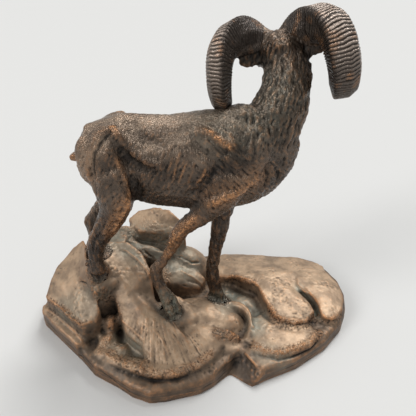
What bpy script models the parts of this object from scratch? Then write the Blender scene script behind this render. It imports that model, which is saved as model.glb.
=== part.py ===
"""A bronze figure of a bighorn ram on a rock, cast in one piece.

The ram faces +X with its head turned back over its far side. Its hind feet are on a crag and its
fore feet lower down, so the back is level. The base stands flat on z = 0 and the origin is the
centre of the base. Lengths are in millimetres and become metres when a point is made.
"""

import math

import bmesh
import bpy
import numpy as np
from mathutils import Matrix, Vector, noise

MM = 0.001

# Rock base
BASE_LENGTH = 259.0
BASE_DEPTH = 146.0
RIM_HEIGHT = 13.0
RIM_ROUND = 2.0
CRAG_HEIGHT = 65.0  # rock under the far hind hoof
REST_HEIGHT = 68.5  # rock under the near hind hoof
STEP_HEIGHT = 35.0  # rock under the near fore hoof
HOLLOW_HEIGHT = 17.0  # rock under the far fore hoof
TERRACE_HEIGHT = 25.5  # the smooth shelf in front of the ram
PEAK_HEIGHT = 74.0  # the boulder behind the ram

# Body
BACK_HEIGHT = 180.0
TRUNK_LENGTH = 136.0
TRUNK_DEPTH = 60.0
TRUNK_WIDTH = 43.0
TRUNK_REAR = -68.0
STANCE = 11.0  # from the body's middle plane to the middle of a leg
TAIL_LENGTH = 13.0
TAIL_THICK = 7.0

# Legs
HOOF_LENGTH = 15.0
HOOF_WIDTH = 11.0
HOOF_SINK = 2.0  # how far a hoof stands in the rock that is cast with it

# Neck and head
POLL_HEIGHT = 212.0
NECK_LEAN = 20.0  # how far the poll is over the far side
NECK_WIDTH = 28.0
NECK_THICK = 26.0
HEAD_LENGTH = 46.0
HEAD_WIDTH = 23.0
HEAD_DEPTH = 23.0
HEAD_YAW = 82.0  # degrees from +X towards +Y
HEAD_PITCH = 8.0  # nose down, degrees
HEAD_ROLL = 11.0  # right side up, degrees
EAR_LENGTH = 17.0
EYE_SIZE = 4.4

# Horns
HORN_WIDTH = 20.5
CURL_RADIUS = 18.3
CURL_DROP = -6.3  # middle of the curl, from the poll
CURL_START = 36.0  # degrees round the curl, from level ahead, up and over to the back
CURL_END = 349.0
FAR_CURL_END = 342.0
CURL_LEAD = 0.77  # how near the curl's middle a horn leaves the head, as a share of the radius
HORN_SPREAD = 34.5  # from the head's middle plane to the outermost middle of a horn
HORN_TAPER = 0.37  # share of its width that a horn loses to the tip
FAR_TAPER = 0.58
HORN_FLATNESS = 0.96  # a horn's width across the curl, as a share of its width in it
FAR_FLATNESS = 0.85
FAR_SPREAD = 37.6
FAR_KEEL_TWIST = 20.0  # how far the far horn's keel is turned outward, degrees
HORN_SIDES = 48

# Surface
VOXEL = 1.15
FACES_KEPT = 11600

BRONZE = (0.115, 0.062, 0.038, 1.0)
NEAR, FAR = -1, 1


def mm(x, y, z):
    """A point given in millimetres."""
    return Vector((x, y, z)) * MM


def between(a, b, share, shift=(0, 0, 0)):
    """The point this share of the way from a to b, moved by shift millimetres."""
    return a.lerp(b, share) + mm(*shift)


def clear_scene():
    for obj in list(bpy.data.objects):
        bpy.data.objects.remove(obj, do_unlink=True)


def collection(name):
    made = bpy.data.collections.new(name)
    bpy.context.scene.collection.children.link(made)
    return made


def add_object(name, bm, home):
    mesh = bpy.data.meshes.new(name)
    bmesh.ops.recalc_face_normals(bm, faces=bm.faces)
    bm.to_mesh(mesh)
    bm.free()
    obj = bpy.data.objects.new(name, mesh)
    home.objects.link(obj)
    return obj


def skin(name, rings, home):
    """A closed shell over rings of points, with a fan over each end."""
    bm = bmesh.new()
    loops = [[bm.verts.new(point) for point in ring] for ring in rings]
    for low, high in zip(loops, loops[1:]):
        for i in range(len(low)):
            j = (i + 1) % len(low)
            bm.faces.new((low[i], low[j], high[j], high[i]))
    for loop in (loops[0], loops[-1]):
        middle = bm.verts.new(sum((v.co for v in loop), Vector()) / len(loop))
        for i in range(len(loop)):
            bm.faces.new((loop[i], loop[(i + 1) % len(loop)], middle))
    return add_object(name, bm, home)


def smooth_path(points, steps):
    """Points along a Catmull-Rom curve through vectors of any length."""
    rows = [np.array(p, float) for p in points]
    rows = [2 * rows[0] - rows[1], *rows, 2 * rows[-1] - rows[-2]]
    out = []
    for a, b, c, d in zip(rows, rows[1:], rows[2:], rows[3:]):
        for i in range(steps):
            t = i / steps
            out.append(
                0.5
                * (
                    2 * b
                    + (c - a) * t
                    + (2 * a - 5 * b + 4 * c - d) * t**2
                    + (3 * b - a - 3 * c + d) * t**3
                )
            )
    out.append(rows[-2])
    return out


def loft(name, stations, home, up=(0, 0, 1), sides=20, power=2.0, steps=4):
    """A limb through stations of (centre, half across, half tall), in millimetres but for the centre.

    Tall is measured along the up direction, as far as that is square to the path.
    """
    rows = smooth_path([(*c, a * MM, t * MM) for c, a, t in stations], steps)
    centres = [Vector(r[:3]) for r in rows]
    rings = []
    for i, row in enumerate(rows):
        ahead = centres[min(i + 1, len(rows) - 1)] - centres[max(i - 1, 0)]
        across = Vector(up).cross(ahead).normalized()
        tall = ahead.cross(across).normalized()
        half_across, half_tall = max(row[3], 0.3 * MM), max(row[4], 0.3 * MM)
        ring = []
        for k in range(sides):
            angle = 2 * math.pi * k / sides
            c, s = math.cos(angle), math.sin(angle)
            x = math.copysign(abs(c) ** (2 / power), c) * half_across
            y = math.copysign(abs(s) ** (2 / power), s) * half_tall
            ring.append(centres[i] + across * x + tall * y)
        rings.append(ring)
    return skin(name, rings, home)


def mass(name, centre, radii, home, turn=(0, 0, 0)):
    """A rounded muscle or boulder: an ellipsoid turned by degrees about X, Y and Z."""
    bm = bmesh.new()
    bmesh.ops.create_uvsphere(bm, u_segments=24, v_segments=16, radius=1.0)
    turned = Matrix.Rotation(math.radians(turn[2]), 4, "Z")
    turned @= Matrix.Rotation(math.radians(turn[1]), 4, "Y")
    turned @= Matrix.Rotation(math.radians(turn[0]), 4, "X")
    sized = Matrix.Diagonal((*(r * MM for r in radii), 1.0))
    bmesh.ops.transform(
        bm, matrix=Matrix.Translation(centre) @ turned @ sized, verts=bm.verts
    )
    return add_object(name, bm, home)


def applied(obj):
    """Makes the object's modifiers part of its mesh."""
    graph = bpy.context.evaluated_depsgraph_get()
    mesh = bpy.data.meshes.new_from_object(obj.evaluated_get(graph))
    obj.modifiers.clear()
    obj.data = mesh
    return obj


def vertex_arrays(mesh):
    count = len(mesh.vertices)
    places, normals = np.empty(count * 3), np.empty(count * 3)
    mesh.vertices.foreach_get("co", places)
    mesh.vertices.foreach_get("normal", normals)
    return places.reshape(-1, 3), normals.reshape(-1, 3)


def fused(name, pieces, home, voxel=VOXEL):
    """One closed skin round all the pieces, which are removed."""
    bm = bmesh.new()
    for piece in pieces:
        piece.data.transform(piece.matrix_world)
        bm.from_mesh(piece.data)
        bpy.data.objects.remove(piece, do_unlink=True)
    mesh = bpy.data.meshes.new(name)
    bm.to_mesh(mesh)
    bm.free()
    obj = bpy.data.objects.new(name, mesh)
    home.objects.link(obj)
    remesh = obj.modifiers.new("one skin", "REMESH")
    remesh.mode = "VOXEL"
    remesh.voxel_size = voxel * MM
    return applied(obj)


def smoothed(obj, turns, factor=0.5):
    smooth = obj.modifiers.new("soften", "SMOOTH")
    smooth.factor = factor
    smooth.iterations = turns
    return applied(obj)


# Ram


def trunk_point(share, y, drop):
    """A place on the trunk: this share from the rump to the breast, drop below the back line."""
    return mm(TRUNK_REAR + share * TRUNK_LENGTH, y, BACK_HEIGHT - drop * TRUNK_DEPTH)


def trunk(home):
    """Barrel from the rump to the breast: share of length, drop, half depth and half width."""
    rows = (
        (-0.005, 0.44, 0.16, 0.30),
        (0.04, 0.42, 0.56, 0.56),
        (0.12, 0.43, 0.80, 0.74),
        (0.22, 0.48, 0.93, 0.80),
        (0.34, 0.53, 1.00, 0.88),
        (0.48, 0.535, 1.06, 0.98),
        (0.62, 0.51, 1.12, 0.98),
        (0.72, 0.48, 1.10, 0.86),
        (0.80, 0.43, 0.98, 0.68),
        (0.87, 0.36, 0.76, 0.52),
        (0.93, 0.29, 0.50, 0.36),
        (0.98, 0.24, 0.22, 0.20),
    )
    stations = [
        (
            trunk_point(share, 0, drop),
            wide * TRUNK_WIDTH / 2,
            deep * TRUNK_DEPTH / 2,
        )
        for share, drop, deep, wide in rows
    ]
    return loft("trunk", stations, home, sides=28, power=2.1)


def spine(home):
    """The bony line of the back, from the tail head to the withers."""
    rows = (
        (0.03, 0.20, 5, 5),
        (0.13, 0.135, 6, 5),
        (0.21, 0.075, 7, 4.5),
        (0.36, 0.10, 6, 5),
        (0.50, 0.09, 6, 5),
        (0.62, 0.03, 7, 6),
        (0.70, 0.005, 8, 6),
        (0.80, 0.05, 8, 7),
    )
    stations = [(trunk_point(s, 0, d), a, t) for s, d, a, t in rows]
    return loft("spine", stations, home, sides=14)


def haunch(side, home):
    """Hip bone, rump muscle and buttock of one side."""
    hip = trunk_point(0.18, side * 12.5, 0.15)
    return [
        mass(f"hip_bone_{side}", hip, (4.5, 4.5, 3.5), home),
        mass(
            f"rump_{side}",
            trunk_point(0.13, side * 10, 0.39),
            (15, 9.5, 21),
            home,
            (0, 18, 0),
        ),
        mass(
            f"buttock_{side}",
            trunk_point(0.05, side * 8.5, 0.46),
            (9.5, 8, 18),
            home,
            (0, -6, 0),
        ),
    ]


def leg(name, hoof, top, rows, home):
    """A leg from the trunk down to the hoof. Each row is the share of the way up, how far the leg
    leans forward and outward of the straight line there, and its half width and half depth."""
    side = 1 if top.y > 0 else -1
    stations = [
        (between(hoof, top, up, (forward, side * outward, 0)), wide, deep)
        for up, forward, outward, wide, deep in rows
    ]
    return loft(name, stations, home, up=(1, 0, 0))


def hind_leg(side, hoof, home):
    """Thigh, gaskin, hock and cannon, with the point of the hock behind."""
    top = trunk_point(0.16, side * (STANCE + 1), 0.47)
    if side == NEAR:
        rows = (
            (1.12, 2.0, -5.0, 4.0, 9.0),
            (0.95, 0.6, 0.0, 9.0, 15.5),
            (0.79, 3.3, 2.2, 10.0, 13.6),
            (0.66, 4.7, 2.8, 9.0, 10.3),
            (0.50, 2.4, 2.5, 7.0, 8.2),
            (0.39, -1.1, 1.1, 5.6, 7.2),
            (0.30, -3.7, 0.2, 5.0, 7.0),
            (0.20, -3.7, 0.0, 4.6, 5.9),
            (0.11, -2.6, 0.0, 4.6, 5.2),
            (0.03, -0.9, 0.0, 5.0, 5.6),
            (-0.04, 0.2, 0.0, 5.4, 6.2),
        )
    else:
        rows = (
            (1.12, 2.0, -5.0, 4.0, 9.0),
            (0.95, 0.8, 0.0, 9.0, 15.5),
            (0.80, 2.6, 1.8, 10.0, 13.0),
            (0.67, 2.6, 2.2, 8.5, 10.0),
            (0.52, -1.3, 1.5, 7.0, 8.0),
            (0.43, -6.9, 0.9, 5.6, 6.4),
            (0.34, -8.9, 0.3, 5.0, 6.0),
            (0.26, -7.2, 0.3, 4.6, 5.2),
            (0.16, -4.2, 0.2, 4.4, 4.8),
            (0.07, -1.8, 0.1, 4.6, 5.2),
            (0.02, -0.4, 0.0, 4.6, 5.4),
        )
    hock = between(hoof, top, rows[5][0] - 0.075, (rows[5][1] - 6.4, 0, 0))
    small = 0.8  # the rock comes up round this hoof
    return [
        leg(f"hind_leg_{side}", hoof, top, rows, home),
        mass(f"hock_point_{side}", hock, (3.0, 3.6, 4.8), home, (0, 28, 0)),
        *hoof_of(f"hind_{side}", hoof, (1, 0.05, -0.1), home, small),
    ]


def fore_leg(side, hoof, home):
    """Forearm, knee, cannon and pastern: the near leg steps back, the far one is straight."""
    top = trunk_point(0.69, side * 14.0, 0.37)
    if side == NEAR:
        rows = (
            (0.93, 0.8, 0.0, 8.0, 14.0),
            (0.80, 1.4, 0.3, 8.5, 11.5),
            (0.72, -3.1, 0.3, 7.5, 8.2),
            (0.66, -7.3, -0.3, 6.2, 6.8),
            (0.59, -14.3, -1.0, 5.2, 5.6),
            (0.52, -16.3, -1.8, 5.2, 5.4),
            (0.45, -17.0, -2.4, 4.2, 4.1),
            (0.37, -19.0, -2.8, 3.8, 3.5),
            (0.31, -21.6, -3.2, 4.2, 4.0),
            (0.28, -22.0, -3.2, 4.6, 4.5),
            (0.21, -18.6, -2.4, 4.6, 4.3),
            (0.14, -12.2, -1.0, 4.8, 4.4),
            (0.07, -5.4, 0.0, 5.4, 4.8),
        )
        toe, grown = (0.42, -0.30, -0.85), 1.2
    else:
        rows = (
            (0.94, 0.3, 0.3, 8.0, 14.0),
            (0.80, -0.3, 0.2, 8.0, 11.0),
            (0.67, -2.0, -1.0, 6.6, 7.8),
            (0.59, -3.5, -1.5, 5.8, 6.4),
            (0.52, -4.3, -1.6, 5.8, 6.9),
            (0.43, -6.1, -1.6, 5.0, 5.4),
            (0.33, -7.4, -1.0, 4.6, 4.8),
            (0.25, -8.1, -0.5, 4.6, 5.1),
            (0.18, -7.5, -0.1, 5.2, 5.8),
            (0.10, -4.6, 0.4, 5.0, 5.6),
            (0.04, -1.3, 0.2, 5.2, 5.2),
        )
        toe, grown = (0.9, -0.35, -0.45), 1.1
    made = hoof_of(f"fore_{side}", hoof, toe, home, grown)
    made.append(leg(f"fore_leg_{side}", hoof, top, rows, home))
    return made


def hoof_of(name, hoof, toe, home, grown):
    """Two toes side by side, pointing along toe, with two dewclaws behind, grown by this factor."""
    ahead = Vector(toe).normalized()
    aside = Vector((0, 0, 1)).cross(ahead).normalized()
    long, wide = grown * HOOF_LENGTH * MM, grown * HOOF_WIDTH / 2
    made = []
    for half in (-1, 1):
        middle = hoof + aside * (0.52 * wide * half * MM)
        stations = [
            (middle - ahead * (0.45 * long) + mm(0, 0, 3.4), 0.44 * wide, 2.8),
            (middle - ahead * (0.20 * long) + mm(0, 0, 2.4), 0.52 * wide, 4.2),
            (middle + ahead * (0.15 * long) + mm(0, 0, 1.0), 0.50 * wide, 3.6),
            (middle + ahead * (0.48 * long) - mm(0, 0, 0.5), 0.28 * wide, 1.6),
        ]
        made.append(loft(f"toe_{name}_{half}", stations, home, sides=12))
        claw = hoof - ahead * (0.42 * long) + aside * (0.5 * wide * half * MM)
        made.append(mass(f"dewclaw_{name}_{half}", claw + mm(-3, 0, 5), (1.7, 1.6, 2.4), home))
    return made


def neck_points():
    """The neck's middle line, from inside the chest to the poll over the far side."""
    low = trunk_point(0.78, 1, 0.50)
    high = mm(TRUNK_REAR + 0.884 * TRUNK_LENGTH, NECK_LEAN, POLL_HEIGHT)
    return low, high


def neck(home):
    low, high = neck_points()
    wide, thick = NECK_WIDTH / 2, NECK_THICK / 2
    stations = [
        (low, 1.05 * thick, 1.45 * wide),
        (between(low, high, 0.21, (2.5, -3, 0)), 1.12 * thick, 1.40 * wide),
        (between(low, high, 0.40, (7, -4, 0)), 1.10 * thick, 1.28 * wide),
        (between(low, high, 0.58, (9, -4, 0)), 1.04 * thick, 1.14 * wide),
        (between(low, high, 0.76, (8.5, -2.5, 0)), thick, 1.03 * wide),
        (between(low, high, 0.93, (4, -0.5, 0)), 0.94 * thick, 0.95 * wide),
        (between(low, high, 1.03), 0.7 * thick, 0.72 * wide),
    ]
    return loft("neck", stations, home, up=(1, 0, 0), sides=24)


def head_frame():
    """Turns the head's own axes, nose, left and up, into the figure's."""
    _, poll = neck_points()
    turn = (
        Matrix.Rotation(math.radians(HEAD_YAW), 4, "Z")
        @ Matrix.Rotation(math.radians(HEAD_PITCH), 4, "Y")
        @ Matrix.Rotation(math.radians(-HEAD_ROLL), 4, "X")
    )
    return Matrix.Translation(poll) @ turn


def in_head(nose, left, up):
    return head_frame() @ mm(nose, left, up)


def head(home):
    """Skull, muzzle, jaw, eyes and ears, along the head's own axes."""
    long, wide, deep = HEAD_LENGTH, HEAD_WIDTH / 2, HEAD_DEPTH / 2
    level = head_frame().to_3x3()
    up = tuple(level @ Vector((0, 0, 1)))
    rows = (
        (-0.24, -0.08, 0.60, 0.60),
        (-0.12, -0.05, 0.92, 0.94),
        (0.08, -0.03, 1.02, 1.04),
        (0.26, -0.07, 1.00, 0.98),
        (0.42, -0.14, 0.82, 0.84),
        (0.60, -0.22, 0.62, 0.68),
        (0.78, -0.29, 0.55, 0.58),
        (0.92, -0.345, 0.54, 0.50),
        (1.00, -0.37, 0.34, 0.34),
    )
    skull = [
        (in_head(s * long, 0, rise * long), w * wide, d * deep)
        for s, rise, w, d in rows
    ]
    jaw_rows = ((-0.02, -0.30, 0.40), (0.22, -0.34, 0.36), (0.5, -0.38, 0.30), (0.86, -0.43, 0.26))
    jaw = [
        (in_head(s * long, 0, rise * long), 1.35 * w * wide, w * deep)
        for s, rise, w in jaw_rows
    ]
    made = [
        loft("skull", skull, home, up=up, sides=24, power=2.2),
        loft("jaw", jaw, home, up=up, sides=16),
    ]
    for side in (-1, 1):
        socket = in_head(0.33 * long, side * 0.88 * wide, -0.04 * long)
        made.append(mass(f"brow_{side}", socket, (4.4, 3.2, 3.4), home))
        eye = in_head(0.38 * long, side * 0.98 * wide, -0.09 * long)
        made.append(mass(f"eye_{side}", eye, [EYE_SIZE / 2] * 3, home))
        root = in_head(-0.04 * long, side * 0.74 * wide, -0.06 * long)
        tip = in_head(-0.14 * long, side * (0.74 * wide + EAR_LENGTH), -0.08 * long)
        ear = [
            (root, 2.8, 4.2),
            (between(root, tip, 0.35), 2.6, 4.6),
            (between(root, tip, 0.75), 1.9, 3.4),
            (tip, 0.6, 1.0),
        ]
        made.append(loft(f"ear_{side}", ear, home, up=up, sides=12))
    return made


def horn_section(side):
    """How far a horn's outline reaches at each angle: a flat brow face, a flat inner face with a
    crisp keel between them, and a rounded outer side."""
    faces = (
        (0, 1.0),
        (-78, 1.0),
        (-118, 1.03),
        (35, 0.985),
        (75, 1.0),
        (112, 1.02),
        (150, 1.05),
        (188, 1.06),
        (222, 1.05),
    )
    twist = FAR_KEEL_TWIST if side == FAR else 0.0
    angles = 2 * math.pi * np.arange(HORN_SIDES) / HORN_SIDES
    reach = np.full(HORN_SIDES, 1.24)
    for normal, gap in faces:
        facing = np.cos(angles - side * math.radians(normal + twist))
        reach = np.minimum(reach, gap / np.maximum(facing, 0.05))
    return angles, reach


def horn_rings(side):
    """Rings of points down a horn, which spreads sideways as it curls."""
    frame = head_frame()
    level = frame.to_3x3()
    spread = (
        (0, 0.10),
        (15, 0.13),
        (40, 0.25),
        (70, 0.46),
        (110, 0.72),
        (150, 0.88),
        (200, 0.96),
        (270, 1.0),
        (360, 1.03),
    )
    angles, reach = horn_section(side)
    flat, widest, loss, end = HORN_FLATNESS, HORN_SPREAD, HORN_TAPER, CURL_END
    if side == FAR:
        flat, widest, loss, end = FAR_FLATNESS, FAR_SPREAD, FAR_TAPER, FAR_CURL_END
    steps = 110
    centres, radials = [], []
    for i in range(steps + 1):
        turn = CURL_START + (end - CURL_START) * i / steps
        angle = math.radians(turn)
        aside = np.interp([turn - 12, turn, turn + 12], *zip(*spread)).mean() * widest
        radial = Vector((math.cos(angle), 0, math.sin(angle)))
        reach_out = CURL_RADIUS * np.interp(turn, (CURL_START, 80, 135), (CURL_LEAD, 0.885, 1))
        centre = Vector((-4, side * aside, CURL_DROP)) + radial * reach_out
        centres.append(centre * MM)
        radials.append(radial)
    root = centres[0] + Vector((0.5, -2.5 * side, -8)) * MM
    centres = [root.lerp(centres[0], i / 6) for i in range(6)] + centres
    radials = [radials[0]] * 6 + radials
    steps += 6
    rings = []
    for i, centre in enumerate(centres):
        t = i / steps
        ahead = (centres[min(i + 1, steps)] - centres[max(i - 1, 0)]).normalized()
        radial = (radials[i] - ahead * radials[i].dot(ahead)).normalized()
        across = ahead.cross(radial)
        taper = (1 - loss * t**1.7) * min(1.0, 0.85 + 0.15 * i / 8)
        if i > steps - 3:
            taper *= 0.84 - 0.16 * (i - steps + 2)
        ring = []
        for angle, share in zip(angles, reach):
            far = HORN_WIDTH / 2 * taper * share * MM
            local = centre + radial * (far * math.cos(angle)) + across * (flat * far * math.sin(angle))
            ring.append(frame.translation + level @ local)
        rings.append(ring)
    return rings


def horn(side, home):
    return skin(f"horn_{side}", horn_rings(side), home)


def tail(home):
    root = trunk_point(0.02, 0, 0.44)
    tip = root + mm(-TAIL_LENGTH, 0.5, -3.0)
    thick = TAIL_THICK / 2
    stations = [
        (root + mm(3, 0, 1), thick, 1.3 * thick),
        (between(root, tip, 0.4), 0.9 * thick, 1.2 * thick),
        (between(root, tip, 0.8), 0.7 * thick, 0.9 * thick),
        (tip, 0.35 * thick, 0.5 * thick),
    ]
    return loft("tail", stations, home, sides=14)


def hooves():
    """Where each hoof stands, tied to the rock under it."""
    half, deep = BASE_LENGTH / 2, BASE_DEPTH / 2
    crag = CRAG_HEIGHT - HOOF_SINK
    return {
        "hind_near": mm(-0.533 * half, -0.15 * deep, REST_HEIGHT),
        "hind_far": mm(-0.583 * half, 0.18 * deep, crag - 1),
        "fore_near": mm(-0.13 * half, -0.245 * deep, STEP_HEIGHT),
        "fore_far": mm(0.155 * half, 0.095 * deep, HOLLOW_HEIGHT),
    }


def ram(home):
    places = hooves()
    pieces = [trunk(home), spine(home), neck(home), tail(home), *head(home)]
    for side, hind, fore in ((NEAR, "hind_near", "fore_near"), (FAR, "hind_far", "fore_far")):
        pieces += haunch(side, home)
        pieces += hind_leg(side, places[hind], home)
        pieces += fore_leg(side, places[fore], home)
        shoulder = trunk_point(0.74, side * 9.8, 0.44)
        pieces.append(mass(f"shoulder_{side}", shoulder, (15, 8.5, 25), home, (0, 26, 0)))
        point = trunk_point(0.77, side * 10.0, 0.66)
        pieces.append(mass(f"shoulder_point_{side}", point, (12, 6.5, 12), home, (0, -25, 0)))
        pieces.append(horn(side, home))
    return pieces


# Lines of muscle, bone and fold on both flanks: height (a ridge, or a groove if below zero) and
# half width in millimetres, then points as (share of the trunk's length, drop below the back)
LINES = (
    (1.8, 2.4, ((0.53, 0.09), (0.57, 0.16), (0.615, 0.26), (0.665, 0.35), (0.70, 0.43))),
    (-1.5, 3.0, ((0.52, 0.19), (0.565, 0.27), (0.605, 0.36), (0.65, 0.46))),
    (-1.3, 2.2, ((0.51, 0.70), (0.56, 0.60), (0.60, 0.49), (0.63, 0.38))),
    (1.5, 2.2, ((0.18, 0.05), (0.20, 0.13), (0.23, 0.24), (0.26, 0.32), (0.31, 0.39), (0.37, 0.42))),
    (-1.7, 3.2, ((0.18, 0.18), (0.21, 0.28), (0.24, 0.38), (0.29, 0.46), (0.33, 0.50))),
    (-1.5, 3.2, ((0.25, 0.03), (0.27, 0.10), (0.31, 0.17), (0.36, 0.21))),
    (1.5, 1.8, ((0.17, 0.50), (0.18, 0.60), (0.20, 0.70), (0.21, 0.82), (0.21, 0.92))),
    (-2.6, 3.2, ((0.24, 0.60), (0.245, 0.72), (0.25, 0.86))),
    (-1.3, 1.6, ((0.17, 0.07), (0.14, 0.16), (0.10, 0.27), (0.08, 0.36), (0.06, 0.50), (0.06, 0.66))),
    (0.9, 2.4, ((0.14, 0.30), (0.15, 0.42), (0.17, 0.52))),
    (-1.0, 1.8, ((0.80, 0.72), (0.83, 0.57), (0.85, 0.45))),
    (-1.0, 1.8, ((0.875, 0.68), (0.905, 0.55), (0.92, 0.43))),
    (1.2, 3.0, ((0.57, 0.83), (0.64, 0.76), (0.72, 0.68), (0.77, 0.58))),
)
RIBS = (
    ((0.43, 0.21), (0.40, 0.33), (0.37, 0.48)),
    ((0.46, 0.25), (0.43, 0.38), (0.40, 0.53)),
    ((0.49, 0.28), (0.455, 0.42), (0.425, 0.60)),
    ((0.50, 0.40), (0.475, 0.52), (0.45, 0.64)),
    ((0.525, 0.44), (0.505, 0.54), (0.48, 0.66)),
    ((0.555, 0.46), (0.535, 0.57), (0.51, 0.66)),
)
RIB_RELIEF = 0.8


def raise_lines(obj):
    """Pushes the flanks out and in along the lines, as a modeller's tool does."""
    places, normals = vertex_arrays(obj.data)
    share = (places[:, 0] / MM - TRUNK_REAR) / TRUNK_LENGTH
    drop = (BACK_HEIGHT - places[:, 2] / MM) / TRUNK_DEPTH
    across = share * TRUNK_LENGTH
    down = drop * TRUNK_DEPTH
    facing = np.clip((np.abs(normals[:, 1]) - 0.15) / 0.35, 0, 1)
    facing *= np.abs(places[:, 1]) < 24 * MM
    lines = LINES + tuple((RIB_RELIEF, 1.0, rib) for rib in RIBS)
    push = np.zeros(len(places))
    for height, width, points in lines:
        near = np.full(len(places), 1e9)
        for (ax, ay), (bx, by) in zip(points, points[1:]):
            start = np.array((ax * TRUNK_LENGTH, ay * TRUNK_DEPTH))
            run = np.array((bx * TRUNK_LENGTH, by * TRUNK_DEPTH)) - start
            along = ((across - start[0]) * run[0] + (down - start[1]) * run[1]) / run.dot(run)
            along = np.clip(along, 0, 1)
            gap = np.hypot(across - start[0] - along * run[0], down - start[1] - along * run[1])
            near = np.minimum(near, gap)
        push += height * np.exp(-((near / width) ** 2))
    places += normals * (push * facing * MM)[:, None]
    obj.data.vertices.foreach_set("co", places.ravel())
    obj.data.update()
    return obj


# Rock


def on_base(x, y, z):
    """A place on the rock: shares of half the base's length and depth, and a height in millimetres."""
    return mm(x * BASE_LENGTH / 2, y * BASE_DEPTH / 2, z)


# Plan of the rim at the floor and at its top edge, as shares of half the length and depth
RIM = (
    (-0.995, 0.06), (-0.965, -0.02), (-0.83, -0.25), (-0.69, -0.47), (-0.56, -0.70), (-0.41, -0.84),
    (-0.33, -0.93), (-0.23, -0.995), (-0.15, -0.98), (0.035, -0.90), (0.11, -0.82), (0.195, -0.695),
    (0.25, -0.76), (0.315, -0.83), (0.40, -0.755), (0.575, -0.63), (0.77, -0.40), (0.905, -0.15),
    (0.965, 0.05), (0.995, 0.30), (0.985, 0.52), (0.94, 0.70), (0.87, 0.86), (0.77, 0.95),
    (0.58, 0.975), (0.38, 0.97), (0.16, 0.99), (-0.08, 0.995), (-0.32, 0.99), (-0.55, 0.92),
    (-0.76, 0.76), (-0.90, 0.52), (-0.97, 0.28),
)
CLEFT = {11: (0.20, -0.64), 12: (0.258, -0.53), 13: (0.375, -0.80)}


def tongue(name, rows, home, power=2.0, sides=24):
    """A rounded ridge of rock through rows of (x, y, height, half width, half thickness)."""
    stations = [(on_base(x, y, z), a, t) for x, y, z, a, t in rows]
    return loft(name, stations, home, sides=sides, power=power)


def rim(home):
    """The plain wall round the base, with a cleft whose face leans back at the front."""
    top = []
    for i, (x, y) in enumerate(RIM):
        x, y = CLEFT.get(i, (0.992 * x, 0.992 * y))
        top.append((x, y))
    low = [on_base(x, y, -6) for x, y in RIM]
    floor = [on_base(x, y, 0) for x, y in RIM]
    wall = [on_base(x, y, RIM_HEIGHT - RIM_ROUND) for x, y in top]
    crown = [on_base(0.975 * x, 0.965 * y, RIM_HEIGHT) for x, y in top]
    inner = [on_base(0.80 * x, 0.78 * y, RIM_HEIGHT) for x, y in top]
    return skin("rim", [low, floor, wall, crown, inner], home)


def block(name, corners, home, middle=None, dome=0.0, low=1.0, flare=1.0):
    """A rock with a sloping top: corners are (x, y, top height) round it, joined to a middle point
    that may rise by dome, and its sides go down to the height low, flared by that factor."""
    places = [on_base(x, y, z) for x, y, z in corners]
    centre = on_base(*middle) if middle else sum(places, Vector()) / len(places)
    rings = [[centre.lerp(p, flare) for p in places]]
    for point in rings[0]:
        point.z = low * MM
    rings.append(places)
    for share in (0.25, 0.5, 0.75):
        ring = [p.lerp(centre, share) + mm(0, 0, dome * (1 - (1 - share) ** 2)) for p in places]
        rings.append(ring)
    return skin(name, rings, home)


def crag(home):
    """The high rock under the hind hooves, with its split flank at the left."""
    top = CRAG_HEIGHT
    return [
        mass("crag_heart", on_base(-0.55, 0.20, 12), (36, 30, top - 13), home),
        mass("crag_left", on_base(-0.70, 0.30, 10), (32, 30, 0.80 * top - 10), home),
        block(
            "foot_rest",
            (
                (-0.61, -0.08, REST_HEIGHT),
                (-0.60, 0.02, 1.01 * REST_HEIGHT),
                (-0.53, 0.03, 0.97 * REST_HEIGHT),
                (-0.49, -0.05, 0.91 * REST_HEIGHT),
                (-0.50, -0.14, 0.83 * REST_HEIGHT),
                (-0.55, -0.20, 0.84 * REST_HEIGHT),
                (-0.59, -0.17, 0.93 * REST_HEIGHT),
            ),
            home,
            middle=(-0.545, -0.09, 0.98 * REST_HEIGHT),
            low=0.5 * REST_HEIGHT,
            flare=1.5,
        ),
        block(
            "crag_top",
            (
                (-0.68, 0.34, 0.93 * top),
                (-0.52, 0.36, 0.99 * top),
                (-0.42, 0.23, 0.92 * top),
                (-0.45, -0.12, 0.80 * top),
                (-0.54, -0.24, 0.84 * top),
                (-0.63, -0.06, 0.90 * top),
            ),
            home,
            middle=(-0.54, 0.10, top),
        ),
        block(
            "flank",
            (
                (-0.90, 0.03, 0.58 * top),
                (-0.86, 0.20, 0.74 * top),
                (-0.76, 0.33, 0.93 * top),
                (-0.69, 0.35, 1.05 * top),
                (-0.655, 0.20, 1.08 * top),
                (-0.62, 0.02, 1.06 * top),
                (-0.595, -0.13, 1.02 * top),
                (-0.573, -0.20, 0.90 * top),
                (-0.55, -0.27, 0.77 * top),
                (-0.53, -0.33, 0.65 * top),
                (-0.55, -0.40, 0.53 * top),
                (-0.63, -0.45, 0.46 * top),
                (-0.78, -0.23, 0.48 * top),
                (-0.91, -0.05, 0.50 * top),
            ),
            home,
            dome=1.5,
        ),
        block(
            "plank",
            (
                (-0.965, 0.03, 19),
                (-0.95, -0.08, 19),
                (-0.81, -0.30, 19),
                (-0.67, -0.51, 18),
                (-0.615, -0.49, 17),
                (-0.63, -0.40, 18),
                (-0.78, -0.20, 21),
                (-0.90, 0.02, 22),
            ),
            home,
        ),
        tongue(
            "crag_back",
            (
                (-0.78, 0.44, 0.45 * top, 14, 12),
                (-0.62, 0.52, 0.66 * top, 15, 14),
                (-0.44, 0.52, 0.72 * top, 14, 12),
            ),
            home,
        ),
    ]


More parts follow.
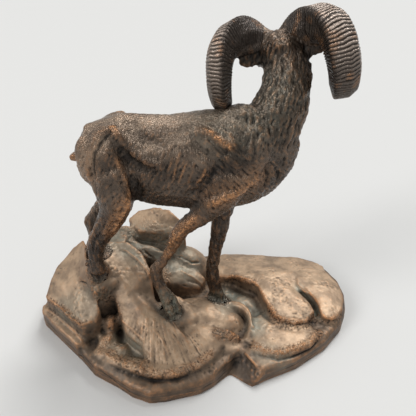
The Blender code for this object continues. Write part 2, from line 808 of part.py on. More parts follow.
def ramp(home):
    """The smooth apron that runs from the crag down to a ragged lip over the near rim."""
    top = CRAG_HEIGHT
    return [
        block(
            "ramp",
            (
                (-0.55, 0.36, 1.02 * top),
                (-0.42, 0.36, 1.0 * top),
                (-0.32, 0.22, 0.94 * top),
                (-0.265, 0.06, 0.83 * top),
                (-0.25, -0.04, 0.70 * top),
                (-0.235, -0.12, 0.58 * top),
                (-0.20, -0.20, 0.50 * top),
                (-0.165, -0.27, 0.45 * top),
                (-0.05, -0.44, 22),
                (0.065, -0.62, 16),
                (-0.01, -0.73, 15),
                (-0.13, -0.78, 15),
                (-0.24, -0.72, 16),
                (-0.29, -0.58, 20),
                (-0.39, -0.45, 26),
                (-0.425, -0.33, 0.49 * top),
                (-0.45, -0.24, 0.585 * top),
                (-0.47, -0.15, 0.69 * top),
                (-0.495, -0.06, 0.79 * top),
                (-0.52, 0.03, 0.90 * top),
                (-0.545, 0.16, 1.0 * top),
            ),
            home,
            middle=(-0.37, -0.16, 0.74 * top),
            dome=0.6,
        ),
        tongue(
            "lip",
            (
                (-0.55, -0.50, 13, 6, 3),
                (-0.42, -0.67, 13.5, 6, 4),
                (-0.27, -0.755, 13.5, 7, 4.5),
                (-0.13, -0.765, 13.5, 8, 4.5),
                (-0.02, -0.71, 13.5, 8, 4.5),
                (0.07, -0.63, 13.5, 7, 4.5),
                (0.13, -0.50, 13.5, 6, 4),
            ),
            home,
        ),
        mass("pebble_left", on_base(-0.50, -0.43, 14), (8, 6, 7), home, (0, 0, 30)),
        mass("pebble_middle", on_base(-0.42, -0.53, 13), (7, 5, 5.5), home, (0, 0, -20)),
        mass("pebble_high", on_base(-0.49, -0.30, 22), (6, 7, 9), home),
        mass("near_slope", on_base(0.02, -0.38, 6), (26, 22, 18), home),
    ]


def terraces(home):
    """The shelves before the ram and the mounds round its fore feet."""
    shelf = TERRACE_HEIGHT
    step = STEP_HEIGHT
    return [
        block(
            "shelf",
            (
                (0.165, 0.42, 0.88 * shelf),
                (0.25, 0.40, shelf),
                (0.307, 0.312, shelf),
                (0.398, 0.225, shelf),
                (0.423, 0.04, 0.97 * shelf),
                (0.459, -0.13, 0.92 * shelf),
                (0.511, -0.24, 0.86 * shelf),
                (0.595, -0.267, 0.83 * shelf),
                (0.661, -0.248, 0.80 * shelf),
                (0.733, -0.105, 0.83 * shelf),
                (0.715, 0.04, 0.80 * shelf),
                (0.66, 0.20, 0.84 * shelf),
                (0.74, 0.30, 0.80 * shelf),
                (0.90, 0.50, 0.72 * shelf),
                (0.90, 0.72, 0.62 * shelf),
                (0.74, 0.88, 0.62 * shelf),
                (0.46, 0.92, 0.66 * shelf),
                (0.20, 0.92, 0.72 * shelf),
                (0.05, 0.80, 0.76 * shelf),
                (0.06, 0.58, 0.84 * shelf),
            ),
            home,
            middle=(0.46, 0.42, 1.02 * shelf),
            dome=1.5,
        ),
        block(
            "far_step",
            (
                (0.64, 0.27, 0.90 * shelf),
                (0.735, 0.13, 0.86 * shelf),
                (0.768, -0.01, 0.80 * shelf),
                (0.762, -0.13, 0.76 * shelf),
                (0.785, -0.18, 0.72 * shelf),
                (0.84, -0.18, 0.72 * shelf),
                (0.915, -0.06, 0.72 * shelf),
                (0.95, 0.12, 0.72 * shelf),
                (0.955, 0.34, 0.72 * shelf),
                (0.90, 0.56, 0.76 * shelf),
                (0.76, 0.60, 0.84 * shelf),
                (0.66, 0.45, 0.92 * shelf),
            ),
            home,
            dome=2.6,
        ),
        block(
            "fan",
            (
                (0.342, -0.156, 0.72 * shelf),
                (0.332, -0.30, 0.72 * shelf),
                (0.326, -0.43, 0.69 * shelf),
                (0.368, -0.53, 0.65 * shelf),
                (0.465, -0.60, 0.62 * shelf),
                (0.568, -0.575, 0.62 * shelf),
                (0.656, -0.51, 0.61 * shelf),
                (0.72, -0.385, 0.61 * shelf),
                (0.70, -0.23, 0.60 * shelf),
                (0.595, -0.20, 0.62 * shelf),
                (0.51, -0.16, 0.64 * shelf),
                (0.43, -0.06, 0.66 * shelf),
            ),
            home,
            dome=1.6,
        ),
        mass("fore_mound", on_base(0.02, -0.12, 2), (36, 24, 25), home, (0, 0, -4)),
        mass("mound_edge", on_base(0.19, -0.18, 6), (16, 13, 17), home, (0, 0, -14)),
        block(
            "near_foothold",
            (
                (-0.20, -0.27, 0.90 * step),
                (-0.12, -0.37, 0.78 * step),
                (-0.02, -0.34, 0.74 * step),
                (0.03, -0.22, 0.76 * step),
                (-0.02, -0.08, 0.82 * step),
                (-0.14, -0.02, 1.0 * step),
                (-0.21, -0.12, 1.02 * step),
            ),
            home,
            middle=(-0.12, -0.21, 0.92 * step),
        ),
        mass("far_foothold", on_base(0.16, 0.07, 2), (22, 15, HOLLOW_HEIGHT - 2), home),
        mass("valley", on_base(0.31, 0.10, 0), (20, 22, 15), home),
        tongue(
            "arc",
            (
                (0.19, 0.02, 17, 4, 4),
                (0.26, 0.0, 18.5, 3.5, 4),
                (0.306, -0.07, 18.5, 3, 4.5),
                (0.334, -0.17, 18, 3, 4.5),
                (0.334, -0.30, 16.5, 3, 4.5),
                (0.315, -0.42, 13, 4, 4),
            ),
            home,
        ),
        block(
            "rough_lump",
            (
                (0.113, -0.42, 20),
                (0.139, -0.37, 22),
                (0.197, -0.355, 22.5),
                (0.275, -0.41, 19),
                (0.25, -0.45, 17),
                (0.154, -0.49, 17.5),
            ),
            home,
            dome=0.8,
        ),
        mass("lump_skirt", on_base(0.21, -0.50, 9), (13, 7, 6.5), home, (0, 0, 10)),
        block(
            "cleft_plane",
            (
                (0.335, -0.50, 15),
                (0.275, -0.56, 14.5),
                (0.37, -0.76, 13.5),
                (0.56, -0.60, 13.5),
                (0.52, -0.52, 15),
            ),
            home,
        ),
    ]


def peak(home):
    """The broken rock behind the ram, in tilted layers."""
    high = PEAK_HEIGHT
    return [
        mass("peak_heart", on_base(-0.34, 0.64, 8), (32, 19, 0.60 * high), home),
        mass("peak_left", on_base(-0.58, 0.52, 8), (26, 22, 0.62 * high), home),
        mass("peak_slope", on_base(-0.10, 0.62, 4), (28, 22, 0.50 * high), home),
        block(
            "peak_boulder",
            (
                (-0.46, 0.80, 0.88 * high),
                (-0.38, 0.89, 0.95 * high),
                (-0.29, 0.88, high),
                (-0.17, 0.80, high),
                (-0.09, 0.70, 0.92 * high),
                (-0.06, 0.62, 0.80 * high),
                (-0.17, 0.60, 0.81 * high),
                (-0.37, 0.59, 0.84 * high),
            ),
            home,
            dome=1.2,
        ),
        block(
            "layer_high",
            (
                (-0.61, 0.66, 0.89 * high),
                (-0.46, 0.70, 0.85 * high),
                (-0.31, 0.70, 0.79 * high),
                (-0.16, 0.72, 0.73 * high),
                (-0.15, 0.64, 0.66 * high),
                (-0.32, 0.60, 0.68 * high),
                (-0.51, 0.52, 0.76 * high),
                (-0.61, 0.53, 0.81 * high),
            ),
            home,
        ),
        block(
            "layer_low",
            (
                (-0.60, 0.52, 0.80 * high),
                (-0.46, 0.55, 0.77 * high),
                (-0.305, 0.53, 0.70 * high),
                (-0.16, 0.48, 0.62 * high),
                (-0.18, 0.40, 0.54 * high),
                (-0.34, 0.40, 0.62 * high),
                (-0.48, 0.34, 0.72 * high),
                (-0.58, 0.38, 0.78 * high),
            ),
            home,
        ),
        block(
            "splinter",
            (
                (-0.16, 0.72, 0.57 * high),
                (-0.005, 0.685, 0.49 * high),
                (0.025, 0.60, 0.41 * high),
                (-0.08, 0.57, 0.44 * high),
                (-0.17, 0.60, 0.52 * high),
            ),
            home,
        ),
        block(
            "foot_layer",
            (
                (-0.20, 0.42, 0.53 * high),
                (-0.07, 0.51, 0.46 * high),
                (0.066, 0.36, 0.33 * high),
                (0.02, 0.24, 0.27 * high),
                (-0.16, 0.20, 0.40 * high),
                (-0.27, 0.15, 0.48 * high),
                (-0.29, 0.26, 0.57 * high),
            ),
            home,
            dome=0.8,
        ),
    ]


def rock(home):
    return [rim(home), *crag(home), *ramp(home), *terraces(home), *peak(home)]


def flatten_base(obj):
    """Cuts the figure flat at z = 0."""
    bm = bmesh.new()
    bm.from_mesh(obj.data)
    everything = [*bm.verts, *bm.edges, *bm.faces]
    cut = bmesh.ops.bisect_plane(
        bm, geom=everything, plane_co=(0, 0, 0), plane_no=(0, 0, 1), clear_inner=True
    )
    edges = [e for e in cut["geom_cut"] if isinstance(e, bmesh.types.BMEdge)]
    bmesh.ops.holes_fill(bm, edges=edges)
    bm.to_mesh(obj.data)
    bm.free()
    return obj


def main():
    clear_scene()
    home = collection("ram_figurine")
    rock_skin = fused("rock", rock(home), home)
    smoothed(rock_skin, 2)
    ram_skin = fused("ram", ram(home), home, voxel=0.9)
    smoothed(ram_skin, 7)
    raise_lines(ram_skin)
    figure = fused("ram_figurine", [rock_skin, ram_skin], home)
    smoothed(figure, 1)
    flatten_base(figure)
    keep = figure.modifiers.new("fewer faces", "DECIMATE")
    figure.data.calc_loop_triangles()
    keep.ratio = min(1.0, FACES_KEPT / len(figure.data.loop_triangles))
    applied(figure)
    figure.data.shade_smooth()
    figure.data.set_sharp_from_angle(angle=math.radians(50))
    bronze = bpy.data.materials.new("patinated bronze")
    bronze.use_nodes = True
    surface = bronze.node_tree.nodes["Principled BSDF"]
    surface.inputs["Base Color"].default_value = BRONZE
    surface.inputs["Metallic"].default_value = 0.6
    surface.inputs["Roughness"].default_value = 0.42
    figure.data.materials.clear()
    figure.data.materials.append(bronze)


main()
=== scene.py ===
"""Looks of the bronze ram on its rock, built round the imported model.

The casting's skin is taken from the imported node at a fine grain, the horns are modelled again with
their rings, and then the modeller's tool marks are pressed in: hair, ribs, folds, stone and grit.
Lengths are in millimetres in the tables and become metres when a point is made.
"""

import math

import bmesh
import bpy
import numpy as np
from mathutils import Matrix, Vector
from mathutils.bvhtree import BVHTree


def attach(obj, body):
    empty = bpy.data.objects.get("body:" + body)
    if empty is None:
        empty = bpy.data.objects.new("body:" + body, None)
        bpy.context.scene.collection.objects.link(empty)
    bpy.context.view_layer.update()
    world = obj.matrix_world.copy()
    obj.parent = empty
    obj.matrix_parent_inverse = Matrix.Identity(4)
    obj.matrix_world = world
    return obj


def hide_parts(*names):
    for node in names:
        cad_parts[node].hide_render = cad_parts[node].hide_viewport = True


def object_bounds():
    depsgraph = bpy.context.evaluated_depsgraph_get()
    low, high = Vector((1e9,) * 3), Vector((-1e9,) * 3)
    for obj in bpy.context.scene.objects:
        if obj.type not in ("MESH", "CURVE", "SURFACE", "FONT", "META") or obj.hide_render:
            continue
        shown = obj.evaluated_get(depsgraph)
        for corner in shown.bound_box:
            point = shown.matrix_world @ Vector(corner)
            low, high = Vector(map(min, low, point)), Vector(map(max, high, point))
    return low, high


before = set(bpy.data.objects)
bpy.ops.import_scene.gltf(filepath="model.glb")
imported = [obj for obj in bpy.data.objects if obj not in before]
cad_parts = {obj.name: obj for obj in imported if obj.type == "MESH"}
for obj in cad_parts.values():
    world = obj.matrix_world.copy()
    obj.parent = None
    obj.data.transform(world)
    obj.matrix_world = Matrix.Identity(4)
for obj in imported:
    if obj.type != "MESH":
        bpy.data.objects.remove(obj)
cad_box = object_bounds()
packed_skin = BVHTree.FromObject(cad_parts["ram_figurine"], bpy.context.evaluated_depsgraph_get())

MM = 0.001
NODE = "ram_figurine"

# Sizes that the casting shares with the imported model
TRUNK_REAR, TRUNK_LENGTH = -68.0, 136.0
POLL = (TRUNK_REAR + 0.884 * TRUNK_LENGTH, 20.0, 212.0)
HEAD_YAW, HEAD_PITCH, HEAD_ROLL = 82.0, 8.0, 11.0
HORN_WIDTH = 20.5
CURL_RADIUS, CURL_DROP, CURL_START, CURL_LEAD = 18.3, -6.3, 36.0, 0.77

# The two horns: where the curl ends in degrees, how far out the horn reaches, the share of its
# width that it loses to the tip, how flat it is, how far its keel is turned outward in degrees,
# and how dark its steep faces are painted, as painted shade
RIGHT, LEFT = -1, 1
CURL_END = {RIGHT: 349.0, LEFT: 342.0}
HORN_SPREAD = {RIGHT: 34.5, LEFT: 37.6}
HORN_TAPER = {RIGHT: 0.37, LEFT: 0.58}
HORN_FLATNESS = {RIGHT: 0.96, LEFT: 0.85}
KEEL_TWIST = {RIGHT: 0.0, LEFT: 20.0}
STEEP_SHADE = {RIGHT: 0.95, LEFT: 0.25}

# How far out a horn's middle lies by the turn of its curl, as a share of its spread
HORN_AWAY = (
    (0, 0.10),
    (15, 0.13),
    (40, 0.25),
    (70, 0.46),
    (110, 0.72),
    (150, 0.88),
    (200, 0.96),
    (270, 1.0),
    (360, 1.03),
)

# Flat faces of a horn's section: which way each looks in degrees, and its distance from the middle
# as a share of the half width. The first is the brow face and the next two the inner side.
HORN_FACES = (
    (0, 1.0),
    (-78, 1.0),
    (-118, 1.03),
    (35, 0.985),
    (75, 1.0),
    (112, 1.02),
    (150, 1.05),
    (188, 1.06),
    (222, 1.05),
)
CORNER_REACH = 1.24
INNER_SIDE = -85.0

# Growth rings: how far apart and how deep they are and how deep their chips, then how many stations
# and sides a horn's mesh has, and how many stations close its tip
RING_PITCH = 1.55
RING_DEPTH = 0.75
CHIP_DEPTH = 0.10
HORN_STATIONS = 560
HORN_SIDES = 72
TIP_STATIONS = 10

# How hollows are found
SHELTER_RAYS = 10
SHELTER_REACH = 16.0
GOLDEN_ANGLE = 2.39996

# Each ear's middle line in the head's axes, for the left one, and how far its skin is from it
EAR = ((-2, 7, -3), (-6.5, 26, -4))
EAR_REACH = 4.9

# Grain of the skins
SKIN_VOXEL = 0.72
SKIN_SMOOTHING = 9
RAM_FACES = 190000
ROCK_FACES = 180000

# Where a leg's middle line runs from the rock up to the trunk, and how far its skin is from it
LEGS = (
    ((-69.0, -11.0, 66), (-68.5, -11.0, 80), (-66.0, -11.0, 93), (-55.0, -14.0, 110),
     (-47.0, -12.0, 147)),
    ((-74.0, 13.0, 65), (-77.0, 13.0, 79), (-79.0, 13.0, 92), (-66.0, 14.0, 112),
     (-50.0, 13.0, 140)),
    ((-16.5, -18.0, 36), (-29.0, -20.0, 56), (-27.0, -18.5, 80), (-8.0, -16.0, 106),
     (20.0, -14.0, 150)),
    ((20.0, 7.0, 18), (14.0, 8.0, 50), (18.0, 9.5, 92), (22.0, 12.0, 130), (24.0, 13.0, 150)),
)
LEG_REACH = 10.5

# Camera, which looks along +Y and down
CAMERA_PLACE = (10.0, -229.0, 262.0)
CAMERA_DOWN = 33.0
LENS = 34.615

# Two soft lights, by where each comes from and how strong it is, and the light of the room
LIGHTS = {"ceiling": ((0.4, 0.45, 1.0), 1.7), "window": ((-0.85, -0.5, 0.7), 1.3)}
LIGHT_SPREAD = 26.0
ROOM_LIGHT, BACKDROP = 0.5, 1.0
FLOOR_SIZE = 6.0  # metres


def mm(x, y, z):
    """A point given in millimetres."""
    return Vector((x, y, z)) * MM


def linear(colour):
    """An sRGB hex colour as linear RGBA."""
    values = [int(colour[i : i + 2], 16) / 255 for i in (1, 3, 5)]
    return (*(v / 12.92 if v <= 0.04045 else ((v + 0.055) / 1.055) ** 2.4 for v in values), 1.0)


def only(obj):
    """Makes obj the one selected and active object."""
    bpy.ops.object.select_all(action="DESELECT")
    obj.select_set(True)
    bpy.context.view_layer.objects.active = obj
    return obj


def apply_modifier(obj, kind, **settings):
    """Adds a modifier with these settings and makes it part of the mesh."""
    only(obj)
    modifier = obj.modifiers.new(kind.lower(), kind)
    for name, value in settings.items():
        setattr(modifier, name, value)
    bpy.ops.object.modifier_apply(modifier=modifier.name)


def link(name, mesh):
    obj = bpy.data.objects.new(name, mesh)
    bpy.context.scene.collection.objects.link(obj)
    return obj


def places_of(obj):
    """The vertices of obj in millimetres, as rows."""
    flat = np.empty(len(obj.data.vertices) * 3, np.float32)
    obj.data.vertices.foreach_get("co", flat)
    return flat.reshape(-1, 3).astype(np.float64) / MM


def normals_of(obj):
    flat = np.empty(len(obj.data.vertices) * 3, np.float32)
    obj.data.vertices.foreach_get("normal", flat)
    return flat.reshape(-1, 3).astype(np.float64)


def move_to(obj, places):
    obj.data.vertices.foreach_set("co", (places * MM).astype(np.float32).ravel())
    obj.data.update()


def paint(obj, name, values):
    """Keeps a value from 0 to 1 at each vertex for the finish to read."""
    layer = obj.data.attributes.get(name) or obj.data.attributes.new(name, "FLOAT", "POINT")
    layer.data.foreach_set("value", np.clip(values, 0, 1).astype(np.float32))


def step(value, low, high):
    """0 below low, 1 above high and smooth between them."""
    t = np.clip((value - low) / (high - low), 0, 1)
    return t * t * (3 - 2 * t)


def lattice(cells, seed):
    """A steady random value from 0 to 1 for each whole-numbered cell."""
    mixed = cells[..., 0] * 73856093 ^ cells[..., 1] * 19349663 ^ cells[..., 2] * 83492791
    mixed = (mixed ^ (seed * 2654435761)) & 0x7FFFFFFF
    mixed = (mixed ^ (mixed >> 13)) * 1274126177 & 0x7FFFFFFF
    return ((mixed ^ (mixed >> 16)) & 0xFFFF) / 65535.0


def noise(points, seed=0):
    """Smooth random values from -1 to 1, about one bump to a unit."""
    cell = np.floor(points).astype(np.int64)
    part = points - cell
    part = part * part * (3 - 2 * part)
    total = 0.0
    for corner in range(8):
        offset = np.array((corner & 1, corner >> 1 & 1, corner >> 2 & 1))
        weight = np.prod(np.where(offset, part, 1 - part), axis=1)
        total = total + weight * lattice(cell + offset, seed)
    return 2 * total - 1


def crumbs(points, seed=0):
    """Rounded grains with sharp gaps between them, one to a unit: 1 on a grain's top, 0 in a gap."""
    cell = np.floor(points).astype(np.int64)
    nearest = np.full(len(points), 9.0)
    for number in range(27):
        other = cell + (number % 3 - 1, number // 3 % 3 - 1, number // 9 - 1)
        centre = other + np.stack([lattice(other, seed + k) for k in range(3)], axis=1)
        nearest = np.minimum(nearest, np.linalg.norm(points - centre, axis=1))
    return np.clip(1 - (nearest / 0.75) ** 2, 0, 1)


def strokes(points, along, length, width, seed=0):
    """Random dashes that lie along a direction, of about this length and width in millimetres."""
    along = np.array(along, float)
    along = along / np.linalg.norm(along)
    aside = np.cross(along, (0.31, 0.52, 0.79))
    aside = aside / np.linalg.norm(aside)
    third = np.cross(along, aside)
    turned = np.stack((points @ along / length, points @ aside / width, points @ third / width), axis=1)
    wander = noise(points / (3 * length), seed + 7)
    turned[:, 1] += 0.9 * wander
    return noise(turned, seed)


def distance_to(points, line):
    """Each point's distance to a chain of places, in millimetres, and how far along it is, 0 to 1."""
    nearest = np.full(len(points), 1e9)
    where = np.zeros(len(points))
    line = np.array(line, float)
    steps = len(line) - 1
    for i in range(steps):
        run = line[i + 1] - line[i]
        t = np.clip((points - line[i]) @ run / (run @ run), 0, 1)
        gap = np.linalg.norm(points - line[i] - t[:, None] * run, axis=1)
        closer = gap < nearest
        nearest = np.where(closer, gap, nearest)
        where = np.where(closer, (i + t) / steps, where)
    return nearest, where


def near(points, line, reach):
    """Which points lie by a chain of places, their distances to it and how far along it they are."""
    line = np.array(line, float)
    boxed = ((points > line.min(0) - reach) & (points < line.max(0) + reach)).all(1)
    found = np.flatnonzero(boxed)
    return found, *distance_to(points[found], line)


def keep_in_box(obj, places):
    """Moves the vertices to these places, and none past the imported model's box."""
    low, high = (np.array(corner) / MM for corner in cad_box)
    move_to(obj, np.clip(places, low, high))


# Camera


def set_camera():
    data = bpy.data.cameras.new("camera")
    data.sensor_width = 36.0
    data.lens = LENS
    data.clip_start = 0.01
    camera = bpy.data.objects.new("camera", data)
    camera.location = mm(*CAMERA_PLACE)
    camera.rotation_euler = (math.radians(90 - CAMERA_DOWN), 0, 0)
    bpy.context.scene.collection.objects.link(camera)
    bpy.context.scene.camera = camera


set_camera()
bpy.context.scene.view_settings.view_transform = "Standard"


# Horns


def head_frame():
    """Turns the head's own axes, nose, left and up, into the figure's."""
    turn = (
        Matrix.Rotation(math.radians(HEAD_YAW), 4, "Z")
        @ Matrix.Rotation(math.radians(HEAD_PITCH), 4, "Y")
        @ Matrix.Rotation(math.radians(-HEAD_ROLL), 4, "X")
    )
    return Matrix.Translation(mm(*POLL)) @ turn


def horn_line(side, steps):
    """Middle places of a horn in the head's axes, and the outward direction of the curl at each."""
    end = CURL_END[side]
    lead = steps // 20
    centres, outwards = [], []
    for i in range(steps - lead + 1):
        turn = CURL_START + (end - CURL_START) * i / (steps - lead)
        angle = math.radians(turn)
        aside = np.interp((turn - 12, turn, turn + 12), *zip(*HORN_AWAY)).mean() * HORN_SPREAD[side]
        outward = Vector((math.cos(angle), 0, math.sin(angle)))
        reach = CURL_RADIUS * np.interp(turn, (CURL_START, 80, 135), (CURL_LEAD, 0.885, 1))
        centres.append(Vector((-4, side * aside, CURL_DROP)) + outward * reach)
        outwards.append(outward)
    root = centres[0] + Vector((0.5, -2.5 * side, -8))
    centres = [root.lerp(centres[0], i / lead) for i in range(lead)] + centres
    outwards = [outwards[0]] * lead + outwards
    return centres, outwards


def horn_section(side):
    """The outline of a horn as reach by angle: flat brow face, flat inner face with a crisp keel
    between them, and a rounded outer side."""
    angles = 2 * math.pi * np.arange(HORN_SIDES) / HORN_SIDES
    reach = np.full(HORN_SIDES, CORNER_REACH)
    for way, gap in HORN_FACES:
        facing = np.cos(angles - side * math.radians(way + KEEL_TWIST[side]))
        reach = np.minimum(reach, gap / np.maximum(facing, 0.05))
    return (np.roll(reach, 1) + 2 * reach + np.roll(reach, -1)) / 4, angles


def shelter(points, normals):
    """How deep each point lies among the forms round it, from 0 on open faces to 1 in a pit."""
    turns = np.arange(SHELTER_RAYS) * GOLDEN_ANGLE
    lifts = 1 - (np.arange(SHELTER_RAYS) + 0.5) / SHELTER_RAYS
    lows = np.sqrt(1 - lifts**2)
    rays = np.stack((lows * np.cos(turns), lows * np.sin(turns), lifts), axis=1)
    blocked = np.zeros(len(points))
    starts = (points + 1.5 * normals) * MM
    for ray in rays:
        outward = ray - 2 * normals * np.minimum(0, (normals @ ray))[:, None]
        for i, (start, way) in enumerate(zip(starts, outward)):
            if packed_skin.ray_cast(Vector(start), Vector(way), SHELTER_REACH * MM)[0] is not None:
                blocked[i] += 1
    return step(blocked / SHELTER_RAYS, 0.15, 0.8)


def ring_cuts(angles, length):
    """How deep each angle of a horn's section lies in the cut between two growth rings, 0 to 1,
    and how strongly that ring is cut there."""
    east, north = np.cos(angles), np.sin(angles)
    around = np.stack((east, north, np.full(HORN_SIDES, 0.12 * length)), axis=1)
    slip = 0.5 * noise(around * 1.3, 11) + 0.3 * noise(around * 3.1, 12)
    place = (length + slip) / RING_PITCH
    own_ring = np.stack((np.floor(place) * 0.77, east * 0.8, north * 0.8), axis=1)
    strong = 0.55 + 0.45 * noise(own_ring, 5)
    return 1 - np.abs(np.sin(math.pi * place)) ** 0.6, 0.55 + 0.75 * strong


def chips(angles, length):
    """Small dents and lumps round a horn's section."""
    places = (9 * np.cos(angles), 9 * np.sin(angles), np.full(HORN_SIDES, 1.2 * length))
    return CHIP_DEPTH * noise(np.stack(places, axis=1), 3)


def horn(side, name):
    """A ringed horn: each growth ring is a rounded swell with a sharp cut between it and the next."""
    to_figure = head_frame()
    centres, outwards = horn_line(side, HORN_STATIONS)
    reach, angles = horn_section(side)
    steps = len(centres) - 1
    bm = bmesh.new()
    loops, length, cuts = [], 0.0, []
    for i, centre in enumerate(centres):
        ahead = (centres[min(i + 1, steps)] - centres[max(i - 1, 0)]).normalized()
        outward = (outwards[i] - ahead * outwards[i].dot(ahead)).normalized()
        across = ahead.cross(outward)
        if i:
            length += (centre - centres[i - 1]).length
        taper = (1 - HORN_TAPER[side] * (i / steps) ** 1.7) * min(1.0, 0.85 + 0.15 * i / (0.06 * steps))
        past = max(0, i - steps + TIP_STATIONS) / (TIP_STATIONS + 0.3)
        end = math.sqrt(max(0.02, 1 - past**2.6))
        cut, strong = ring_cuts(angles, length)
        depth = RING_DEPTH * (0.4 + 0.6 * taper) * end * step(length, 1, 8)
        sizes = HORN_WIDTH / 2 * taper * end * reach - depth * cut * strong + chips(angles, length) * end
        cuts.append(cut)
        ring = []
        for angle, far in zip(angles, sizes):
            aside = HORN_FLATNESS[side] * far * math.sin(angle)
            local = centre + outward * (far * math.cos(angle)) + across * aside
            ring.append(bm.verts.new(to_figure @ (local * MM)))
        loops.append(ring)
    for low, high in zip(loops, loops[1:]):
        for k in range(HORN_SIDES):
            j = (k + 1) % HORN_SIDES
            bm.faces.new((low[k], low[j], high[j], high[k]))
    bm.faces.new(loops[0])
    bm.faces.new(loops[-1])
    bmesh.ops.recalc_face_normals(bm, faces=bm.faces)
    mesh = bpy.data.meshes.new(name)
    bm.to_mesh(mesh)
    bm.free()
    mesh.shade_smooth()
    obj = link(name, mesh)
    keep_in_box(obj, places_of(obj))
    paint_horn(obj, side, angles, np.concatenate(cuts))
    return obj


def paint_horn(obj, side, angles, cuts):
    """Where a horn's crests are pale, as a painted highlight strongest on faces that look up, where
    its cuts are dark with patina and painted shade, where its inner side and steep faces are
    painted dark as painted shade, and what is rubbed.
    """
    points, normals = places_of(obj), normals_of(obj)
    crest = 1 - step(cuts, 0.05, 0.5)
    inner_way = side * math.radians(INNER_SIDE + KEEL_TWIST[side])
    inner = np.tile(step(np.cos(angles - inner_way), 0.5, 0.66), len(points) // HORN_SIDES)
    patches = step(noise(points / 5, 14), 0.1, 0.6)
    steep = 1 - step(normals[:, 2], -0.1, 0.6)
    level = step(normals[:, 2], -0.1, 0.7)
    # Cuts darkened as patina and painted shade, and shelter adds painted shade
    paint(obj, "cavity_and_shade", np.maximum(0.95 * step(cuts, 0.35, 0.85), 0.7 * shelter(points, normals)))
    # Pale crests are a painted highlight, strongest on faces that look up
    paint(obj, "horn", crest * (0.12 + 0.88 * level) * (1 - 0.85 * inner))
    # Inner side and steep faces painted dark, as painted shade
    paint(obj, "dark", np.maximum(0.9 * inner, STEEP_SHADE[side] * steep))
    paint(obj, "rub", 0.5 * crest * patches)


# Casting skin


def horn_mask(points, margin):
    """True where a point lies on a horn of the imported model, clear of the skull and the ears."""
    to_figure = head_frame()
    found = np.zeros(len(points), bool)
    for side in (RIGHT, LEFT):
        centres, _ = horn_line(side, 60)
        gap, along = distance_to(points, [to_figure @ (centre * MM) / MM for centre in centres])
        width = HORN_WIDTH / 2 * (1 - HORN_TAPER[side] * along**1.7)
        found |= (gap < 1.25 * width + margin) & (along > 0.13)
    for side in (RIGHT, LEFT):
        ear = [to_figure @ mm(x, side * y, z) / MM for x, y, z in EAR]
        found &= distance_to(points, ear)[0] > EAR_REACH
    return found


def casting_copy():
    """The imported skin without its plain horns, at a fine grain and with its facets smoothed away."""
    obj = link("casting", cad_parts[NODE].data.copy())
    only(obj)
    bpy.ops.object.mode_set(mode="EDIT")
    bpy.ops.mesh.select_all(action="SELECT")
    bpy.ops.mesh.remove_doubles(threshold=0.01 * MM)
    bpy.ops.object.mode_set(mode="OBJECT")
    apply_modifier(obj, "REMESH", mode="VOXEL", voxel_size=SKIN_VOXEL * MM)
    gone = np.flatnonzero(horn_mask(places_of(obj), 1.2))
    bm = bmesh.new()
    bm.from_mesh(obj.data)
    bm.verts.ensure_lookup_table()
    bmesh.ops.delete(bm, geom=[bm.verts[i] for i in gone], context="VERTS")
    bmesh.ops.holes_fill(bm, edges=[e for e in bm.edges if len(e.link_faces) == 1])
    bm.to_mesh(obj.data)
    bm.free()
    apply_modifier(obj, "SMOOTH", factor=0.5, iterations=SKIN_SMOOTHING)
    return obj


# Tool marks: how high a ridge stands, or how deep a cut is if below zero, its half width, and how
# much copper shows on it, then its places. Those of the flanks are made on both sides.

FLANK_MARKS = (
    (1.2, 2.0, 1.0, ((6, -13, 176), (12, -15, 174), (17, -17, 170), (22, -18, 167), (24, -18, 165))),
    (0.5, 1.0, 0.7, ((22, -14, 174), (24, -16, 170), (26, -17, 166))),
    (-1.1, 3.4, 0.0, ((9, -17, 171), (14, -19, 168), (18, -20, 164), (22, -19, 162))),
    (0.5, 0.7, 0.5, ((-15, -17, 164), (-17, -18, 159), (-18, -20, 152))),
    (0.5, 0.7, 0.5, ((-10, -19, 161), (-12, -20, 156), (-14, -20, 151))),
    (0.6, 0.7, 0.7, ((-6, -19, 164), (-8, -20, 158), (-11, -20, 145))),
    (0.6, 0.7, 0.7, ((-2, -20, 159), (-4, -21, 154), (-8, -21, 144))),
    (0.6, 0.7, 0.7, ((2, -20, 158), (1, -21, 153), (-2, -21, 144))),
    (0.5, 0.8, 0.7, ((9, -21, 155), (7, -22, 150), (3, -21, 144))),
    (0.6, 2.4, 0.0, ((-44, -13, 176), (-41, -16, 171), (-38, -15, 165), (-33, -17, 160),
                     (-26, -19, 156), (-20, -19, 154))),
    (-1.1, 3.6, 0.0, ((-42, -17, 166), (-39, -17, 160), (-34, -18, 155), (-27, -20, 151))),
    (1.3, 2.4, 1.0, ((-43, -12, 177), (-46, -13, 175))),
    (-1.0, 3.2, 0.0, ((-37, -9, 175), (-32, -12, 170), (-26, -14, 167))),
    (-1.0, 1.0, 0.0, ((-46, -14, 174), (-51, -16, 169), (-56, -17, 162), (-58, -17, 152),
                      (-58, -19, 143), (-58, -20, 133))),
    (0.8, 1.6, 0.5, ((-52, -13, 172), (-59, -15, 162), (-62, -15, 152), (-62, -16, 141))),
    (1.0, 2.0, 0.6, ((-44, -18, 161), (-42, -18, 154), (-39, -20, 144), (-38, -20, 137),
                     (-38, -21, 130))),
    (-0.8, 3.4, 0.0, ((-34, -19, 150), (-34, -18, 141), (-33, -16, 131), (-33, -14, 124))),
    (1.0, 3.0, 0.5, ((10, -23, 131), (17, -24, 134), (24, -24, 138), (31, -21, 140),
                     (37, -18, 143), (42, -15, 146))),
    (-1.0, 1.6, 0.0, ((18, -21, 163), (14, -20, 151), (9, -20, 142), (4, -20, 135))),
    (-1.2, 1.6, 0.0, ((45, -15, 155), (47, -13, 144), (45, -14, 137))),
    (-1.1, 1.5, 0.0, ((51, -12, 151), (54, -9, 144), (54, -8, 137))),
    (-1.0, 1.8, 0.0, ((38, -15, 174), (43, -15, 168), (48, -13, 160))),
    (0.7, 1.3, 0.0, ((55, -10, 166), (58, -8, 156), (58, -8, 148))),
)
